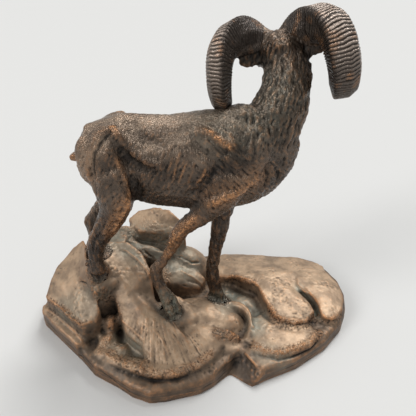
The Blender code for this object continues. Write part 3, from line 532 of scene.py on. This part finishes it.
LEG_MARKS = (
    (0.8, 1.4, 1.0, ((-38, -21, 133), (-41, -22, 126), (-47, -21, 115), (-52, -19, 106))),
    (0.6, 1.2, 0.3, ((-57, -20, 119), (-64, -16, 108), (-71, -15, 96), (-75, -14, 86))),
    (-0.7, 1.0, 0.0, ((-52, -22, 122), (-58, -20, 110), (-66, -17, 98), (-70, -16, 84))),
    (0.7, 1.3, 0.9, ((2, -20, 119), (-7, -19, 108), (-14, -18, 98), (-19, -19, 92), (-24, -22, 80))),
    (-0.6, 1.0, 0.0, ((-3, -22, 116), (-12, -21, 104), (-20, -21, 90), (-27, -22, 76))),
    (0.5, 1.0, 0.5, ((27, 4, 120), (25, 4, 100), (22, 3, 80), (19, 3, 60))),
    (-0.5, 0.9, 0.0, ((22, 3, 118), (20, 3, 96), (17, 3, 72), (15, 2, 50))),
)
ROCK_MARKS = (
    (1.5, 0.8, 1.0, ((-59, 18, 62), (-54, 17, 61), (-46, 11, 59), (-38, 4, 54), (-32, -3, 49),
                     (-29, -10, 41))),
    (-1.0, 0.8, 0.0, ((-54, 21, 60), (-44, 15, 57), (-35, 8, 51), (-30, 0, 45))),
    (-1.4, 0.8, 0.0, ((-29, -12, 44), (-25, -19, 38), (-20, -24, 35), (-14, -27, 31))),
    (-1.2, 0.7, 0.0, ((-16, -12, 33), (-12, -20, 31), (-8, -27, 28))),
    (-1.3, 0.8, 0.0, ((-12, 16, 26), (-4, 16, 23), (3, 17, 22), (9, 7, 25))),
    (-1.2, 0.7, 0.0, ((-6, 8, 30), (2, 4, 28), (10, 4, 26), (16, -4, 24))),
    (1.0, 0.7, 0.8, ((-10, 12, 30), (0, 10, 28), (9, 10, 26))),
    (-1.6, 1.0, 0.0, ((-64, 47, 60), (-54, 44, 55), (-46, 42, 52), (-34, 42, 50), (-24, 42, 47))),
    (1.2, 0.9, 0.8, ((-62, 42, 63), (-52, 40, 59), (-42, 38, 56), (-30, 38, 54), (-22, 40, 50))),
    (-1.6, 0.9, 0.0, ((-44, 33, 50), (-39, 30, 46), (-30, 27, 42), (-22, 24, 37))),
    (-1.5, 0.9, 0.0, ((-22, 36, 42), (-14, 38, 38), (-4, 35, 34), (4, 38, 32))),
    (1.0, 0.8, 0.7, ((-24, 32, 42), (-12, 33, 38), (-2, 31, 34), (6, 32, 30))),
    (-1.3, 0.8, 0.0, ((-86, -7, 52), (-80, -11, 54), (-74, -15, 50), (-70, -18, 42),
                      (-71, -27, 35))),
    (0.7, 1.2, 0.4, ((-37, 2, 54), (-33, -3, 48), (-30, -12, 38), (-25, -18, 31))),
    (-1.2, 2.0, 0.0, ((-33, 6, 50), (-28, -2, 42), (-25, -12, 32))),
    (1.1, 0.9, 0.8, ((-117, -4, 33), (-98, -18, 32), (-84, -31, 31), (-73, -29, 34))),
    (-2.0, 1.5, 0.0, ((-119, -7, 27), (-98, -22, 26), (-84, -35, 25), (-74, -35, 24))),
    (0.7, 1.0, 0.9, ((-122, -3, 20), (-108, -12, 20), (-92, -26, 20), (-84, -33, 18),
                     (-82, -37, 14))),
    (0.6, 0.9, 0.8, ((-70, -28, 38), (-71, -30, 32), (-75, -32, 21))),
    (1.2, 2.6, 0.5, ((-61, -24, 36), (-61, -28, 28), (-63, -33, 20))),
    (0.7, 1.0, 0.5, ((-55, -25, 31), (-45, -32, 28), (-36, -40, 25))),
    (-1.8, 2.4, 0.0, ((-57, -32, 22), (-47, -38, 20), (-38, -44, 20))),
    (0.7, 0.8, 0.5, ((-29, -34, 31), (-22, -41, 26), (-15, -53, 19))),
    (0.7, 0.8, 0.5, ((-23, -30, 31), (-12, -40, 25), (-4, -53, 19))),
    (0.6, 0.8, 0.5, ((-17, -25, 29), (-6, -38, 24), (3, -50, 19))),
    (1.1, 1.4, 0.6, ((23, 30, 19), (36, 27, 25), (49, 20, 26), (56, 4, 25), (60, -8, 23),
                     (66, -15, 21), (85, -17, 20))),
    (-1.6, 2.2, 0.0, ((26, 25, 17), (37, 22, 17), (45, 14, 17), (51, 3, 17), (55, -9, 17),
                      (62, -20, 16), (75, -24, 15), (90, -22, 14))),
    (0.8, 1.2, 0.5, ((94, 4, 19), (91, 13, 21), (86, 20, 23), (88, 30, 22))),
    (-1.4, 1.4, 0.0, ((97, -8, 14), (96, 2, 15), (92, 11, 17), (88, 18, 19))),
    (0.7, 1.2, 0.6, ((92, 16, 23), (99, 0, 21), (100, -10, 19), (106, -14, 18), (120, -1, 15))),
    (0.8, 1.6, 0.5, ((43, -36, 16), (51, -41, 16), (60, -43, 16), (72, -40, 16), (85, -34, 15),
                     (93, -24, 14))),
    (-1.3, 3.0, 0.0, ((38, 8, 16), (45, -1, 15), (46, -14, 21), (43, -26, 19), (41, -33, 15))),
    (0.4, 0.8, 0.4, ((38, -3, 20), (43, -12, 20), (43, -22, 19), (41, -32, 15))),
    (-1.7, 1.3, 0.0, ((-64, -46, 13), (-53, -55, 14), (-43, -59, 14), (-27, -64, 14),
                      (-11, -63, 14), (4, -56, 14), (15, -46, 14), (20, -38, 14))),
    (-1.4, 1.2, 0.0, ((42, -42, 13), (52, -45, 13), (61, -47, 13), (73, -44, 13), (87, -37, 12),
                      (97, -25, 12))),
    (1.0, 0.8, 1.0, ((37, -42, 14), (44, -51, 13), (50, -56, 10))),
    (-0.8, 0.7, 0.0, ((-90, -35, 4), (-76, -44, 9), (-66, -53, 10), (-52, -62, 6))),
    (0.8, 1.0, 0.6, ((-64, 40, 58), (-50, 44, 62), (-36, 44, 60), (-24, 46, 56))),
    (-1.2, 1.4, 0.0, ((-66, 34, 54), (-52, 36, 56), (-38, 35, 52), (-26, 36, 46))),
    (0.8, 1.0, 0.3, ((-68, 30, 56), (-54, 30, 54), (-40, 26, 48), (-30, 24, 42))),
    (-1.2, 1.3, 0.0, ((-8, 20, 28), (2, 20, 24), (9, 17, 18))),
    (0.8, 1.0, 0.4, ((-24, 18, 36), (-13, 26, 34), (-1, 23, 27), (7, 21, 18))),
)

# Middle line of the neck, and the hair: where it grows, how high it stands, which way it lies, and
# the length and width of a lock
NECK = ((40, 0, 152), (46, -1, 172), (52, 6, 190), (53, 18, 208))
HAIR = (
    ("neck", 0.85, (0.12, 0.22, 0.95), 5.5, 2.0),
    ("neck", 0.5, (0.25, 0.1, 0.95), 3.2, 1.1),
    ("shoulder", 0.42, (0.72, 0, -0.68), 3.4, 1.2),
    ("flank", 0.36, (-0.5, 0, -0.86), 3.6, 1.1),
    ("back", 0.24, (1, 0, 0.05), 3.6, 1.2),
    ("legs", 0.34, (-0.15, 0, 1), 7.0, 1.5),
)

# Unevenness of the rock by seed: where it lies, and the height and width of its bumps
ROCK_BUMPS = {
    31: ("everywhere", 0.45, 15.0),
    32: ("above the rim", 0.22, 6.0),
    33: ("above the rim", 0.14, 2.4),
    38: ("above the rim", 0.08, 1.3),
    43: ("ragged", 0.3, 1.8),
}
RAGGED_PATCH, RAGGED_LAYER = 11.0, (3.2, 3.2, 2.2)

# The brushed rim's height and the width of its brush marks, where the apron's striations fan out
# from and how long they are, and the sizes of coarse and fine grains
RIM_TOP, BRUSH_WIDTH = 12.5, 0.9
FAN_FROM, STRIATION_LENGTH = (-33.0, 2.0), 16.0
BIG_GRAIN, SMALL_GRAIN = 1.9, 1.3

# Grit: reach in millimetres and strength, then the places it runs along
GRIT = (
    (7, 1.0, ((-76, -15, 67), (-71, -20, 54), (-64, -19, 43), (-61, -24, 33))),
    (5, 0.8, ((-61, -24, 33), (-62, -32, 24), (-68, -40, 18))),
    (4, 1.0, ((-118, -6, 32), (-98, -19, 32), (-85, -31, 31))),
    (3.4, 1.0, ((-61, -43, 17), (-51, -51, 18), (-42, -56, 18), (-27, -61, 17), (-12, -60, 17),
                (1, -54, 18), (12, -45, 18))),
    (5, 0.6, ((-57, -36, 18), (-46, -44, 18), (-36, -51, 18))),
    (5, 1.0, ((17, -29, 21), (25, -30, 21), (33, -31, 19))),
    (4, 1.0, ((58, -7, 23), (64, -16, 20), (72, -20, 20), (85, -19, 19), (98, -8, 15))),
    (3.5, 0.7, ((23, 30, 18), (36, 27, 24), (49, 20, 25))),
    (3.6, 0.9, ((43, -36, 16), (51, -41, 16), (60, -43, 16), (72, -40, 16), (85, -34, 15),
                (95, -23, 13))),
    (4, 0.6, ((99, -10, 18), (106, -14, 17), (119, -3, 14))),
    (9, 0.9, ((-46, 24, 52), (-36, 20, 44), (-28, 16, 36))),
    (6, 0.6, ((-24, -16, 44), (-16, -24, 32))),
    (10, 0.5, ((-60, 46, 55), (-40, 52, 60), (-20, 44, 40))),
)

# Where verdigris lies, and where the patina is painted darker: painted shade in the crevices,
# under the ledges and under the belly, and darker patches elsewhere
GREEN = (
    (13, 0.7, ((-58, 26, 64), (-44, 18, 60))),
    (8, 0.9, ((24, 20, 17), (40, 9, 16), (49, -7, 15), (47, -22, 15))),
    (4.5, 0.9, ((86, 18, 20), (93, 5, 17), (99, -7, 14))),
    (8, 0.8, ((-56, -34, 18), (-42, -43, 18))),
    (8, 0.5, ((50, -42, 14), (64, -46, 13))),
    (18, 0.8, ((-58, 38, 56), (-30, 36, 50), (-12, 34, 36))),
    (9, 0.9, ((-24, -17, 46), (-17, -21, 36))),
    (9, 0.6, ((18, 4, 22), (26, -6, 22))),
    (12, 0.45, ((-98, -18, 30), (-70, -20, 50))),
    (20, 0.35, ((18, -2, 176), (36, 0, 180), (46, 8, 188))),
)
DARK_AND_SHADE = (
    (3.2, 0.9, ((-64, -46, 13), (-53, -55, 14), (-43, -59, 14), (-27, -64, 14), (-11, -63, 14),
                (4, -56, 14), (15, -46, 14), (20, -38, 14))),
    (3, 0.7, ((42, -42, 13), (52, -45, 13), (61, -47, 13), (73, -44, 13), (87, -37, 12),
              (97, -25, 12))),
    (3, 0.8, ((-119, -7, 27), (-98, -22, 26), (-84, -35, 25), (-74, -35, 24))),
    (6, 0.65, ((17, -29, 21), (25, -30, 21), (33, -31, 19))),
    (8, 0.5, ((-76, -15, 67), (-71, -20, 54), (-64, -19, 43), (-61, -24, 33))),
    (2.2, 0.55, ((26, 25, 17), (37, 22, 17), (45, 14, 17), (51, 3, 17), (55, -9, 17),
                 (62, -20, 16))),
    (5, 0.75, ((-64, 47, 60), (-54, 44, 55), (-46, 42, 52), (-34, 42, 50), (-24, 42, 47))),
    (5, 0.75, ((-44, 33, 50), (-39, 30, 46), (-30, 27, 42), (-22, 24, 37))),
    (5, 0.7, ((-22, 36, 42), (-14, 38, 38), (-4, 35, 34), (4, 38, 32))),
    (4, 0.7, ((-12, 16, 26), (-4, 16, 23), (3, 17, 22))),
    (9, 0.8, ((-26, -10, 46), (-21, -17, 36), (-14, -20, 30))),
    (10, 0.6, ((-66, 34, 54), (-52, 36, 56), (-38, 35, 52), (-26, 36, 46))),
    (9, 0.9, ((33, -47, 9), (40, -56, 5))),
    (12, 0.35, ((-54, 4, 58), (-46, -6, 52), (-40, -16, 42))),
    (10, 0.7, ((-34, -16, 136), (-20, -15, 124), (0, -15, 122))),
    (7, 0.9, ((-33, -15, 136), (-35, -12, 126))),
    (5, 0.7, ((-62, -19, 42), (-60, -25, 30))),
    (4, 0.8, ((-74, -33, 24), (-82, -36, 20))),
    (8, 0.7, ((-23, -14, 44), (-20, -18, 34))),
    (9, 0.5, ((22, -19, 160), (16, -20, 150), (8, -20, 140))),
    (8, 0.5, ((-41, -17, 162), (-34, -18, 154), (-26, -20, 148))),
    (9, 0.5, ((48, 6, 190), (52, 14, 204))),
    (7, 0.8, ((14, 12, 26), (20, 16, 20))),
)
COPPER = (
    (9, 0.3, ((14, -23, 134), (28, -22, 140), (40, -16, 146))),
    (7, 0.6, ((-40, -21, 130), (-52, -19, 106))),
    (6, 0.5, ((0, -20, 118), (-20, -18, 88))),
    (14, 0.15, ((-62, -8, 158), (-64, -8, 146))),
    (6, 0.5, ((-66, 0, 155), (-80, 0, 151))),
)

# Open places painted paler: on the rump a painted highlight, elsewhere a paler tone
PALE = (
    (10, 0.55, ((-56, -13, 168), (-64, -14, 156), (-65, -15, 142))),
    (8, 0.35, ((4, -18, 164), (12, -19, 160))),
    (9, 0.55, ((-47, -34, 28), (-31, -44, 25), (-14, -47, 21), (4, -45, 18))),
    (9, 0.4, ((56, -33, 18), (72, -32, 18), (86, -26, 17))),
)


def press(points, marks):
    """How far marks push each point out, and how much copper they leave."""
    push, rub = np.zeros(len(points)), np.zeros(len(points))
    for height, width, copper, line in marks:
        found, gap, along = near(points, line, 3 * width + 2)
        ends = step(along, 0, 0.12) * (1 - step(along, 0.88, 1)) * 0.75 + 0.25
        amount = np.exp(-((gap / width) ** 2)) * ends
        push[found] += height * amount
        rub[found] += copper * amount
    return push, rub


def pools(points, table):
    """How strongly each point lies in one of these soft zones."""
    total = np.zeros(len(points))
    for reach, strength, line in table:
        found, gap, _ = near(points, line, 1.6 * reach)
        amount = strength * (1 - step(gap, 0.45 * reach, 1.5 * reach))
        total[found] = np.maximum(total[found], amount)
    return total


def both_sides(points):
    """Points with the far flank folded on to the near one."""
    return np.stack((points[:, 0], -np.abs(points[:, 1]), points[:, 2]), axis=1)


def ram_share(points):
    """1 on the animal, 0 on the rock, smooth at the hooves."""
    gap = np.full(len(points), 1e9)
    for line in LEGS:
        near, _ = distance_to(points, line)
        gap = np.minimum(gap, near)
    legs = 1 - step(gap, LEG_REACH - 2.0, LEG_REACH + 1.0)
    return np.maximum(legs, step(points[:, 2], 100.0, 108.0))


def hair(points, normals):
    """Coat of the ram: coarse tufts on the neck, short dashes on shoulder and flank, sinews below."""
    x, _, z = points.T
    gap, _ = distance_to(points, NECK)
    neck = (1 - step(gap, 17, 25)) * step(z, 148, 172) * step(x, 22, 34)
    legs = 1 - step(z, 112, 128)
    back = step(normals[:, 2], 0.35, 0.8) * (1 - neck)
    front = step(x, -12, 14)
    shoulder = front * (1 - neck) * (1 - legs)
    grows = {
        "neck": neck,
        "shoulder": shoulder * (1 - 0.4 * back),
        "flank": (1 - front) * (1 - legs) * (1 - back),
        "back": back * (1 - shoulder),
        "legs": legs,
    }
    # Unevenness of the modelling under the hair
    coat = 0.4 * noise(points / 8, 21) * (1 - legs) + 0.4 * noise(points / 4.5, 22) * legs
    coat += 0.16 * noise(points / 1.5, 23) + 0.2 * noise(points / 3, 24)
    for seed, (where, height, lie, length, width) in enumerate(HAIR, 1):
        coat += grows[where] * height * strokes(points, lie, length, width, seed)
    return coat


def stone(points, normals):
    """Skin of the rock: soft tooling all over, striations that fan out down the apron, and grit."""
    x, y, z = points.T
    grit = pools(points, GRIT)
    rim = (1 - step(z, RIM_TOP - 1, RIM_TOP + 1)) * (1 - step(normals[:, 2], 0.3, 0.6))
    apron = step(-y, 18, 44) * step(-x, -16, -2) * (1 - step(-x, 52, 62)) * step(z, 14, 18)
    ragged = step(noise(points / RAGGED_PATCH, 39), 0.0, 0.6) * (1 - rim)
    lies = {"everywhere": 1, "above the rim": 1 - rim, "ragged": ragged}
    skin = 0.5 * ragged * np.abs(noise(points / RAGGED_LAYER, 42))
    for seed, (where, height, width) in ROCK_BUMPS.items():
        skin += lies[where] * height * noise(points / width, seed)
    flat = np.zeros(len(x))
    away = np.hypot(x - FAN_FROM[0], y) / STRIATION_LENGTH
    fan = np.stack((away, 19 * np.arctan2(y - FAN_FROM[1], x - FAN_FROM[0]), flat), axis=1)
    skin += 0.4 * apron * noise(fan * (1, 1.9, 1), 34) + 0.16 * apron * noise(fan * (2, 3.6, 1), 44)
    brushed = np.stack((5 * np.arctan2(y, x), z / BRUSH_WIDTH, flat), axis=1)
    skin += 0.22 * rim * noise(brushed, 35)
    gritty = np.flatnonzero(grit > 0.01)
    some = points[gritty]
    grains = 0.75 * crumbs(some / BIG_GRAIN, 36) + 0.25 * crumbs(some / SMALL_GRAIN, 40)
    skin[gritty] += grit[gritty] * (grains - 0.3 + 0.55 * noise(some / 4.0, 37))
    return skin


def edge_ends(obj):
    """The two vertices of every edge."""
    ends = np.empty(len(obj.data.edges) * 2, np.int32)
    obj.data.edges.foreach_get("vertices", ends)
    return ends[::2], ends[1::2]


def soften(obj, values, turns):
    """Values averaged with those of the neighbouring vertices."""
    start, end = edge_ends(obj)
    both, other = np.concatenate((start, end)), np.concatenate((end, start))
    number = np.maximum(np.bincount(both, minlength=len(values)), 1)
    for _ in range(turns):
        values = 0.4 * values + 0.6 * np.bincount(both, values[other], len(values)) / number
    return values


def relief(obj, turns):
    """How far each vertex stands proud of the skin smoothed this many times, in millimetres."""
    first = places_of(obj)
    smooth = np.stack([soften(obj, first[:, k], turns) for k in range(3)], axis=1)
    return ((first - smooth) * normals_of(obj)).sum(1)


def model_skin(obj):
    """Presses the tool marks, hair and stone into the casting."""
    points, normals = places_of(obj), normals_of(obj)
    flat_under = points[:, 2] < 0.4
    ram = ram_share(points)
    coat = press(both_sides(points), FLANK_MARKS)[0] * step(points[:, 2], 98, 110)
    coat += press(points, LEG_MARKS)[0] + hair(points, normals)
    rock = press(points, ROCK_MARKS)[0] + stone(points, normals)
    push = ram * coat + (1 - ram) * rock
    push *= step(points[:, 2], 0.3, 2.5)
    points = points + normals * push[:, None]
    points[:, 2] = np.where(flat_under, 0, points[:, 2])
    keep_in_box(obj, points)


def half_of(obj, name, keep_ram, faces):
    """The animal's or the rock's part of the casting, closed where they meet."""
    part = link(name, obj.data.copy())
    share = ram_share(places_of(part))
    bm = bmesh.new()
    bm.from_mesh(part.data)
    bm.verts.ensure_lookup_table()
    gone = [f for f in bm.faces if (sum(share[v.index] for v in f.verts) > 2) != keep_ram]
    bmesh.ops.delete(bm, geom=gone, context="FACES")
    bmesh.ops.holes_fill(bm, edges=[e for e in bm.edges if len(e.link_faces) == 1])
    bm.to_mesh(part.data)
    bm.free()
    part.data.calc_loop_triangles()
    apply_modifier(part, "DECIMATE", ratio=min(1.0, faces / len(part.data.loop_triangles)))
    part.data.shade_smooth()
    return part


casting = casting_copy()
model_skin(casting)
ram_skin = half_of(casting, "ram_body", True, RAM_FACES)
rock_skin = half_of(casting, "rock_base", False, ROCK_FACES)
bpy.data.objects.remove(casting, do_unlink=True)
horns = [horn(RIGHT, "horn_right"), horn(LEFT, "horn_left")]


def paint_finish(obj):
    """Where patina is rubbed to copper, where it is dark and where verdigris lies, and where light and
    shade are painted: paler tops and rump as painted light from above, and painted shade in the
    hollows. Relief is read in millimetres: fine relief is the tool marks alone, and broad relief
    also the ridges."""
    points, normals = places_of(obj), normals_of(obj)
    folded = both_sides(points) if obj is ram_skin else points
    ram = ram_share(points)
    fine, broad = relief(obj, 5), relief(obj, 40)
    # How sheltered each point is, used to paint shade into the hollows
    shade = soften(obj, shelter(points, normals), 4)
    flank = press(both_sides(points), FLANK_MARKS)[1] * step(points[:, 2], 98, 110)
    # Copper shows on the marks' ridges, on broad ridges and on grit, but not along the underside
    rub = ram * (flank + press(points, LEG_MARKS)[1] + pools(folded, COPPER))
    rub += (1 - ram) * press(points, ROCK_MARKS)[1]
    rub += (0.7 - 0.3 * ram) * step(broad, 0.25, 1.1)
    rim = (1 - ram) * (1 - step(points[:, 2], RIM_TOP + 0.7, RIM_TOP + 2.3))
    grit = pools(points, GRIT) * (1 - ram) * step(noise(points / 3.0, 41), -0.7, 0.1)
    rub = (rub + 0.5 * grit) * step(points[:, 2], 2, 6)
    # Faces that look up are painted paler where nothing shelters them, as painted light from above
    level = soften(obj, normals[:, 2], 12)
    lit_from_above = step(level, 0.25 - 0.15 * ram, 0.95) * (1 - 0.8 * shade) * (1 - 0.7 * rim)
    # The relief's cuts and hollows are darkened as dark patina and painted shade, and shelter adds
    # painted shade
    cavity_and_shade = np.maximum(step(-fine, 0.03, 0.22), 0.8 * step(-broad, 0.25, 1.1))
    top_light_and_pale = np.maximum(lit_from_above, pools(folded, PALE))
    green = pools(points, GREEN)
    cavity_and_shade = np.maximum(cavity_and_shade * (1 - 0.3 * top_light_and_pale), 0.85 * shade)
    x, _, z = points.T
    # Mane and lower legs are painted darker, on the lower legs as painted shade
    manes = ram * (step(z, 168, 190) * step(x, 24, 34) * 0.55 + 0.6 * (1 - step(z, 116, 136)))
    steep = 1 - step(normals[:, 2], 0.2, 0.8)
    paint(obj, "rub", rub * (1 - 0.7 * shade))
    paint(obj, "proud", step(fine, 0.02, 0.16))
    paint(obj, "cavity_and_shade", cavity_and_shade * (1 - 0.85 * green * (1 - ram)))
    paint(obj, "green", green)
    # Painted shade and darker patina: the table's patches, the rim with its steep faces, mane and legs
    paint(obj, "dark", np.maximum.reduce((pools(folded, DARK_AND_SHADE), (0.42 + 0.2 * steep) * rim, manes)))
    paint(obj, "grit", grit)
    paint(obj, "mane", ram * step(z, 160, 180) * step(x, 26, 36))
    paint(obj, "stone", 1 - ram)
    paint(obj, "top_light_and_pale", top_light_and_pale)


for piece in (ram_skin, rock_skin):
    paint_finish(piece)


# Finish


# Mottling of the patina, from clouds through drifts and patches to specks: how many millimetres it
# is across, how much finer detail it has, and the noise at which it starts and is full
MOTTLING = (
    (24.0, 3.0, 0.36, 0.66),
    (12.0, 3.0, 0.36, 0.66),
    (6.0, 5.0, 0.38, 0.66),
    (1.6, 4.0, 0.36, 0.64),
)

# Width of the grains in the grit. Casting sand is usually finer than half a millimetre, which is
# less than a pixel of the picture, so the grains are drawn coarser to show.
GRAIN_WIDTH = 1.25

# Turn and width of the hair strokes on the body and on the neck, and how far they are drawn out
BODY_HAIR, NECK_HAIR = ((0, 0.7, 0), 1.0), ((0.2, -0.15, 0), 1.2)
DRAWN_OUT = (1.0, 1.0, 0.3)
BUMP_HEIGHT = 0.5

# Sockets of a node that blends colours
SHARE, FIRST, SECOND = 0, 6, 7


def node(tree, kind, inputs=(), out=0, **settings):
    """Adds a node with its settings, fills or links its inputs, by name or in their order, and
    gives back one of its outputs."""
    made = tree.nodes.new("ShaderNode" + kind)
    for name, value in settings.items():
        setattr(made, name, value)
    for name, value in inputs.items() if isinstance(inputs, dict) else enumerate(inputs):
        if isinstance(value, bpy.types.NodeSocket):
            tree.links.new(value, made.inputs[name])
        else:
            made.inputs[name].default_value = value
    return made.outputs[out]


def patinated_bronze():
    """Patinated bronze, brushed with acid and waxed: a dark brown skin that wear rubs through to
    warm copper on the ridges, with grey-green left in the hollows of the rock. The wax gives the
    animal a soft gloss, and the rock, which is chased and brushed, is duller and paler. Light and
    shade are also painted into the colour: paler tops and horn crests as painted light from above,
    painted glints on the raised crests, and painted shade in the hollows, crevices and steep faces."""
    made = bpy.data.materials.new("patinated_bronze_waxed")
    made.use_nodes = True
    tree = made.node_tree
    surface = tree.nodes["Principled BSDF"]
    place = node(tree, "TexCoord", out="Object")
    times, scaled = {"operation": "MULTIPLY"}, {"operation": "MULTIPLY_ADD"}
    highest, less = {"operation": "MAXIMUM"}, {"operation": "SUBTRACT"}
    ramp, blend = {"interpolation_type": "SMOOTHSTEP"}, {"data_type": "RGBA", "out": 2}

    stony, rub, proud, horn_crest_light, cavity_and_shade, green, dark, top_light_and_pale, grit, mane = (
        node(tree, "Attribute", out="Fac", attribute_name=name)
        for name in ("stone", "rub", "proud", "horn", "cavity_and_shade", "green", "dark", "top_light_and_pale", "grit", "mane")
    )
    mottles = []
    for size, detail, low, high in MOTTLING:
        grain = node(tree, "TexNoise", {"Vector": place, "Scale": 1 / (size * MM), "Detail": detail})
        mottles.append(node(tree, "MapRange", (grain, low, high), **ramp))
    clouds, drifts, patches, specks = mottles
    crumb = node(tree, "TexVoronoi", {"Vector": place, "Scale": 1 / (GRAIN_WIDTH * MM)})

    # Where each layer of the patina, and of the painted light and shade, lies
    top_light_share = node(tree, "Math", (top_light_and_pale, node(tree, "Math", (drifts, 0.42, 0.34), **scaled)), **times)
    pool = node(tree, "Math", (green, node(tree, "Math", (patches, 0.5, 0.5), **scaled)), **times)
    rubbed = node(tree, "Math", (rub, node(tree, "Math", (specks, 0.7, 0.3), **scaled)), **times)
    # Copper on the raised crests, partly a painted glint
    crest_copper_and_glint = node(tree, "Math", (proud, node(tree, "Math", (patches, 0.4, 0.1), **scaled)), **times)
    crest_copper_and_glint = node(tree, "Math", (crest_copper_and_glint, node(tree, "Math", (stony, 0.4, 0.6), **scaled)), **times)
    bright = node(tree, "Math", (rubbed, crest_copper_and_glint), **highest)
    gaps = node(tree, "Math", (grit, node(tree, "MapRange", (crumb, 0.35, 0.75), **ramp)), **times)
    faint = [
        node(tree, "Math", (layer, share), **times)
        for layer, share in ((patches, 0.3), (dark, 0.85), (horn_crest_light, 0.9), (cavity_and_shade, 0.92), (gaps, 0.2))
    ]
    brushed, shaded, crests, pits, gaps = faint
    # Dark patina and painted shade in the cuts and hollows, and the gaps of the grit
    deep = node(tree, "Math", (pits, gaps), **highest)

    skin, rock, top_light_colour = (
        node(tree, "Mix", {SHARE: share, FIRST: linear(first), SECOND: linear(second)}, **blend)
        for share, first, second in (
            (clouds, "#352c25", "#5d5045"),
            (clouds, "#5f5042", "#7e6855"),
            # Colour of the painted light on the tops, for the animal and the rock
            (stony, "#bca58f", "#d6b898"),
        )
    )
    rock = node(tree, "Mix", {SHARE: brushed, FIRST: rock, SECOND: linear("#a88b70")}, **blend)
    colour = skin
    for share, layer in (
        (stony, rock),
        # Painted light on the tops and a painted highlight on the rump
        (top_light_share, top_light_colour),
        # Darker patina, and painted shade in crevices, under ledges and on steep faces
        (shaded, linear("#2b231d")),
        (pool, linear("#84867a")),
        # Painted highlight on the horn crests
        (crests, linear("#cbb9ab")),
        # Copper rubbed through, with painted glints on the crests
        (bright, linear("#b9875f")),
        # Dark patina and painted shade in the cuts and hollows
        (deep, linear("#130f0c")),
    ):
        colour = node(tree, "Mix", {SHARE: share, FIRST: colour, SECOND: layer}, **blend)
    tree.links.new(colour, surface.inputs["Base Color"])

    # Stone, pits and specks are rougher, and bare copper is more metallic than patina
    for socket, total, shares in (
        ("Roughness", 0.2, ((stony, 0.28), (cavity_and_shade, 0.25), (specks, 0.06))),
        ("Metallic", 0.56, ((bright, 0.35), (stony, -0.17))),
    ):
        for layer, share in shares:
            total = node(tree, "Math", (layer, share, total), **scaled)
        tree.links.new(total, surface.inputs[socket])

    # Hair drawn out along its lie, the tooth of the finest mottling, and round grains in the grit
    lies = []
    for turn, width in (BODY_HAIR, NECK_HAIR):
        laid = node(tree, "Mapping", {"Vector": place, "Rotation": turn, "Scale": DRAWN_OUT})
        lies.append(node(tree, "TexNoise", {"Vector": laid, "Scale": 1 / (width * MM), "Detail": 3.0}))
    lie = node(tree, "Mix", {SHARE: mane, FIRST: lies[0], SECOND: lies[1]}, **blend)
    fur = node(tree, "Math", (lie, node(tree, "Math", (1.0, stony), **less)), **times)
    tooth = node(tree, "Math", (grain, node(tree, "Math", (stony, -0.25, 0.6), **scaled)), **times)
    grains = node(tree, "Math", (grit, node(tree, "Math", (1.0, crumb), **less)), **times)
    height = node(tree, "Math", (fur, 2.6, tooth), **scaled)
    height = node(tree, "Math", (grains, 1.6, height), **scaled)
    bump = node(tree, "Bump", {"Height": height, "Distance": BUMP_HEIGHT * MM, "Strength": 0.8})
    tree.links.new(bump, surface.inputs["Normal"])
    return made


bronze = patinated_bronze()
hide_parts(NODE)
for piece in (ram_skin, rock_skin, *horns):
    piece.data.materials.clear()
    piece.data.materials.append(bronze)
    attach(piece, "root")


# Stage


def stage():
    """A pale matt floor, an even pale backdrop and two soft lamps."""
    bpy.ops.mesh.primitive_plane_add(size=FLOOR_SIZE, location=(0, 0, 0))
    floor = bpy.context.object
    floor.name = "floor"
    finish = bpy.data.materials.new("pale_floor")
    finish.use_nodes = True
    finish.node_tree.nodes["Principled BSDF"].inputs["Base Color"].default_value = linear("#dededc")
    finish.node_tree.nodes["Principled BSDF"].inputs["Roughness"].default_value = 0.9
    floor.data.materials.append(finish)
    world = bpy.data.worlds.new("room")
    world.use_nodes = True
    tree = world.node_tree
    back = tree.nodes["Background"]
    back.inputs["Color"].default_value = linear("#e6e6e6")
    # The camera sees the backdrop paler than it lights the figure
    seen = node(tree, "LightPath", out="Is Camera Ray")
    strength = node(tree, "Math", (seen, BACKDROP - ROOM_LIGHT, ROOM_LIGHT), operation="MULTIPLY_ADD")
    tree.links.new(strength, back.inputs["Strength"])
    bpy.context.scene.world = world
    for name, (way, power) in LIGHTS.items():
        data = bpy.data.lights.new(name, "SUN")
        data.angle = math.radians(LIGHT_SPREAD)
        data.energy = power
        lamp = bpy.data.objects.new(name, data)
        lamp.rotation_euler = Vector(way).to_track_quat("Z", "Y").to_euler()
        bpy.context.scene.collection.objects.link(lamp)


stage()
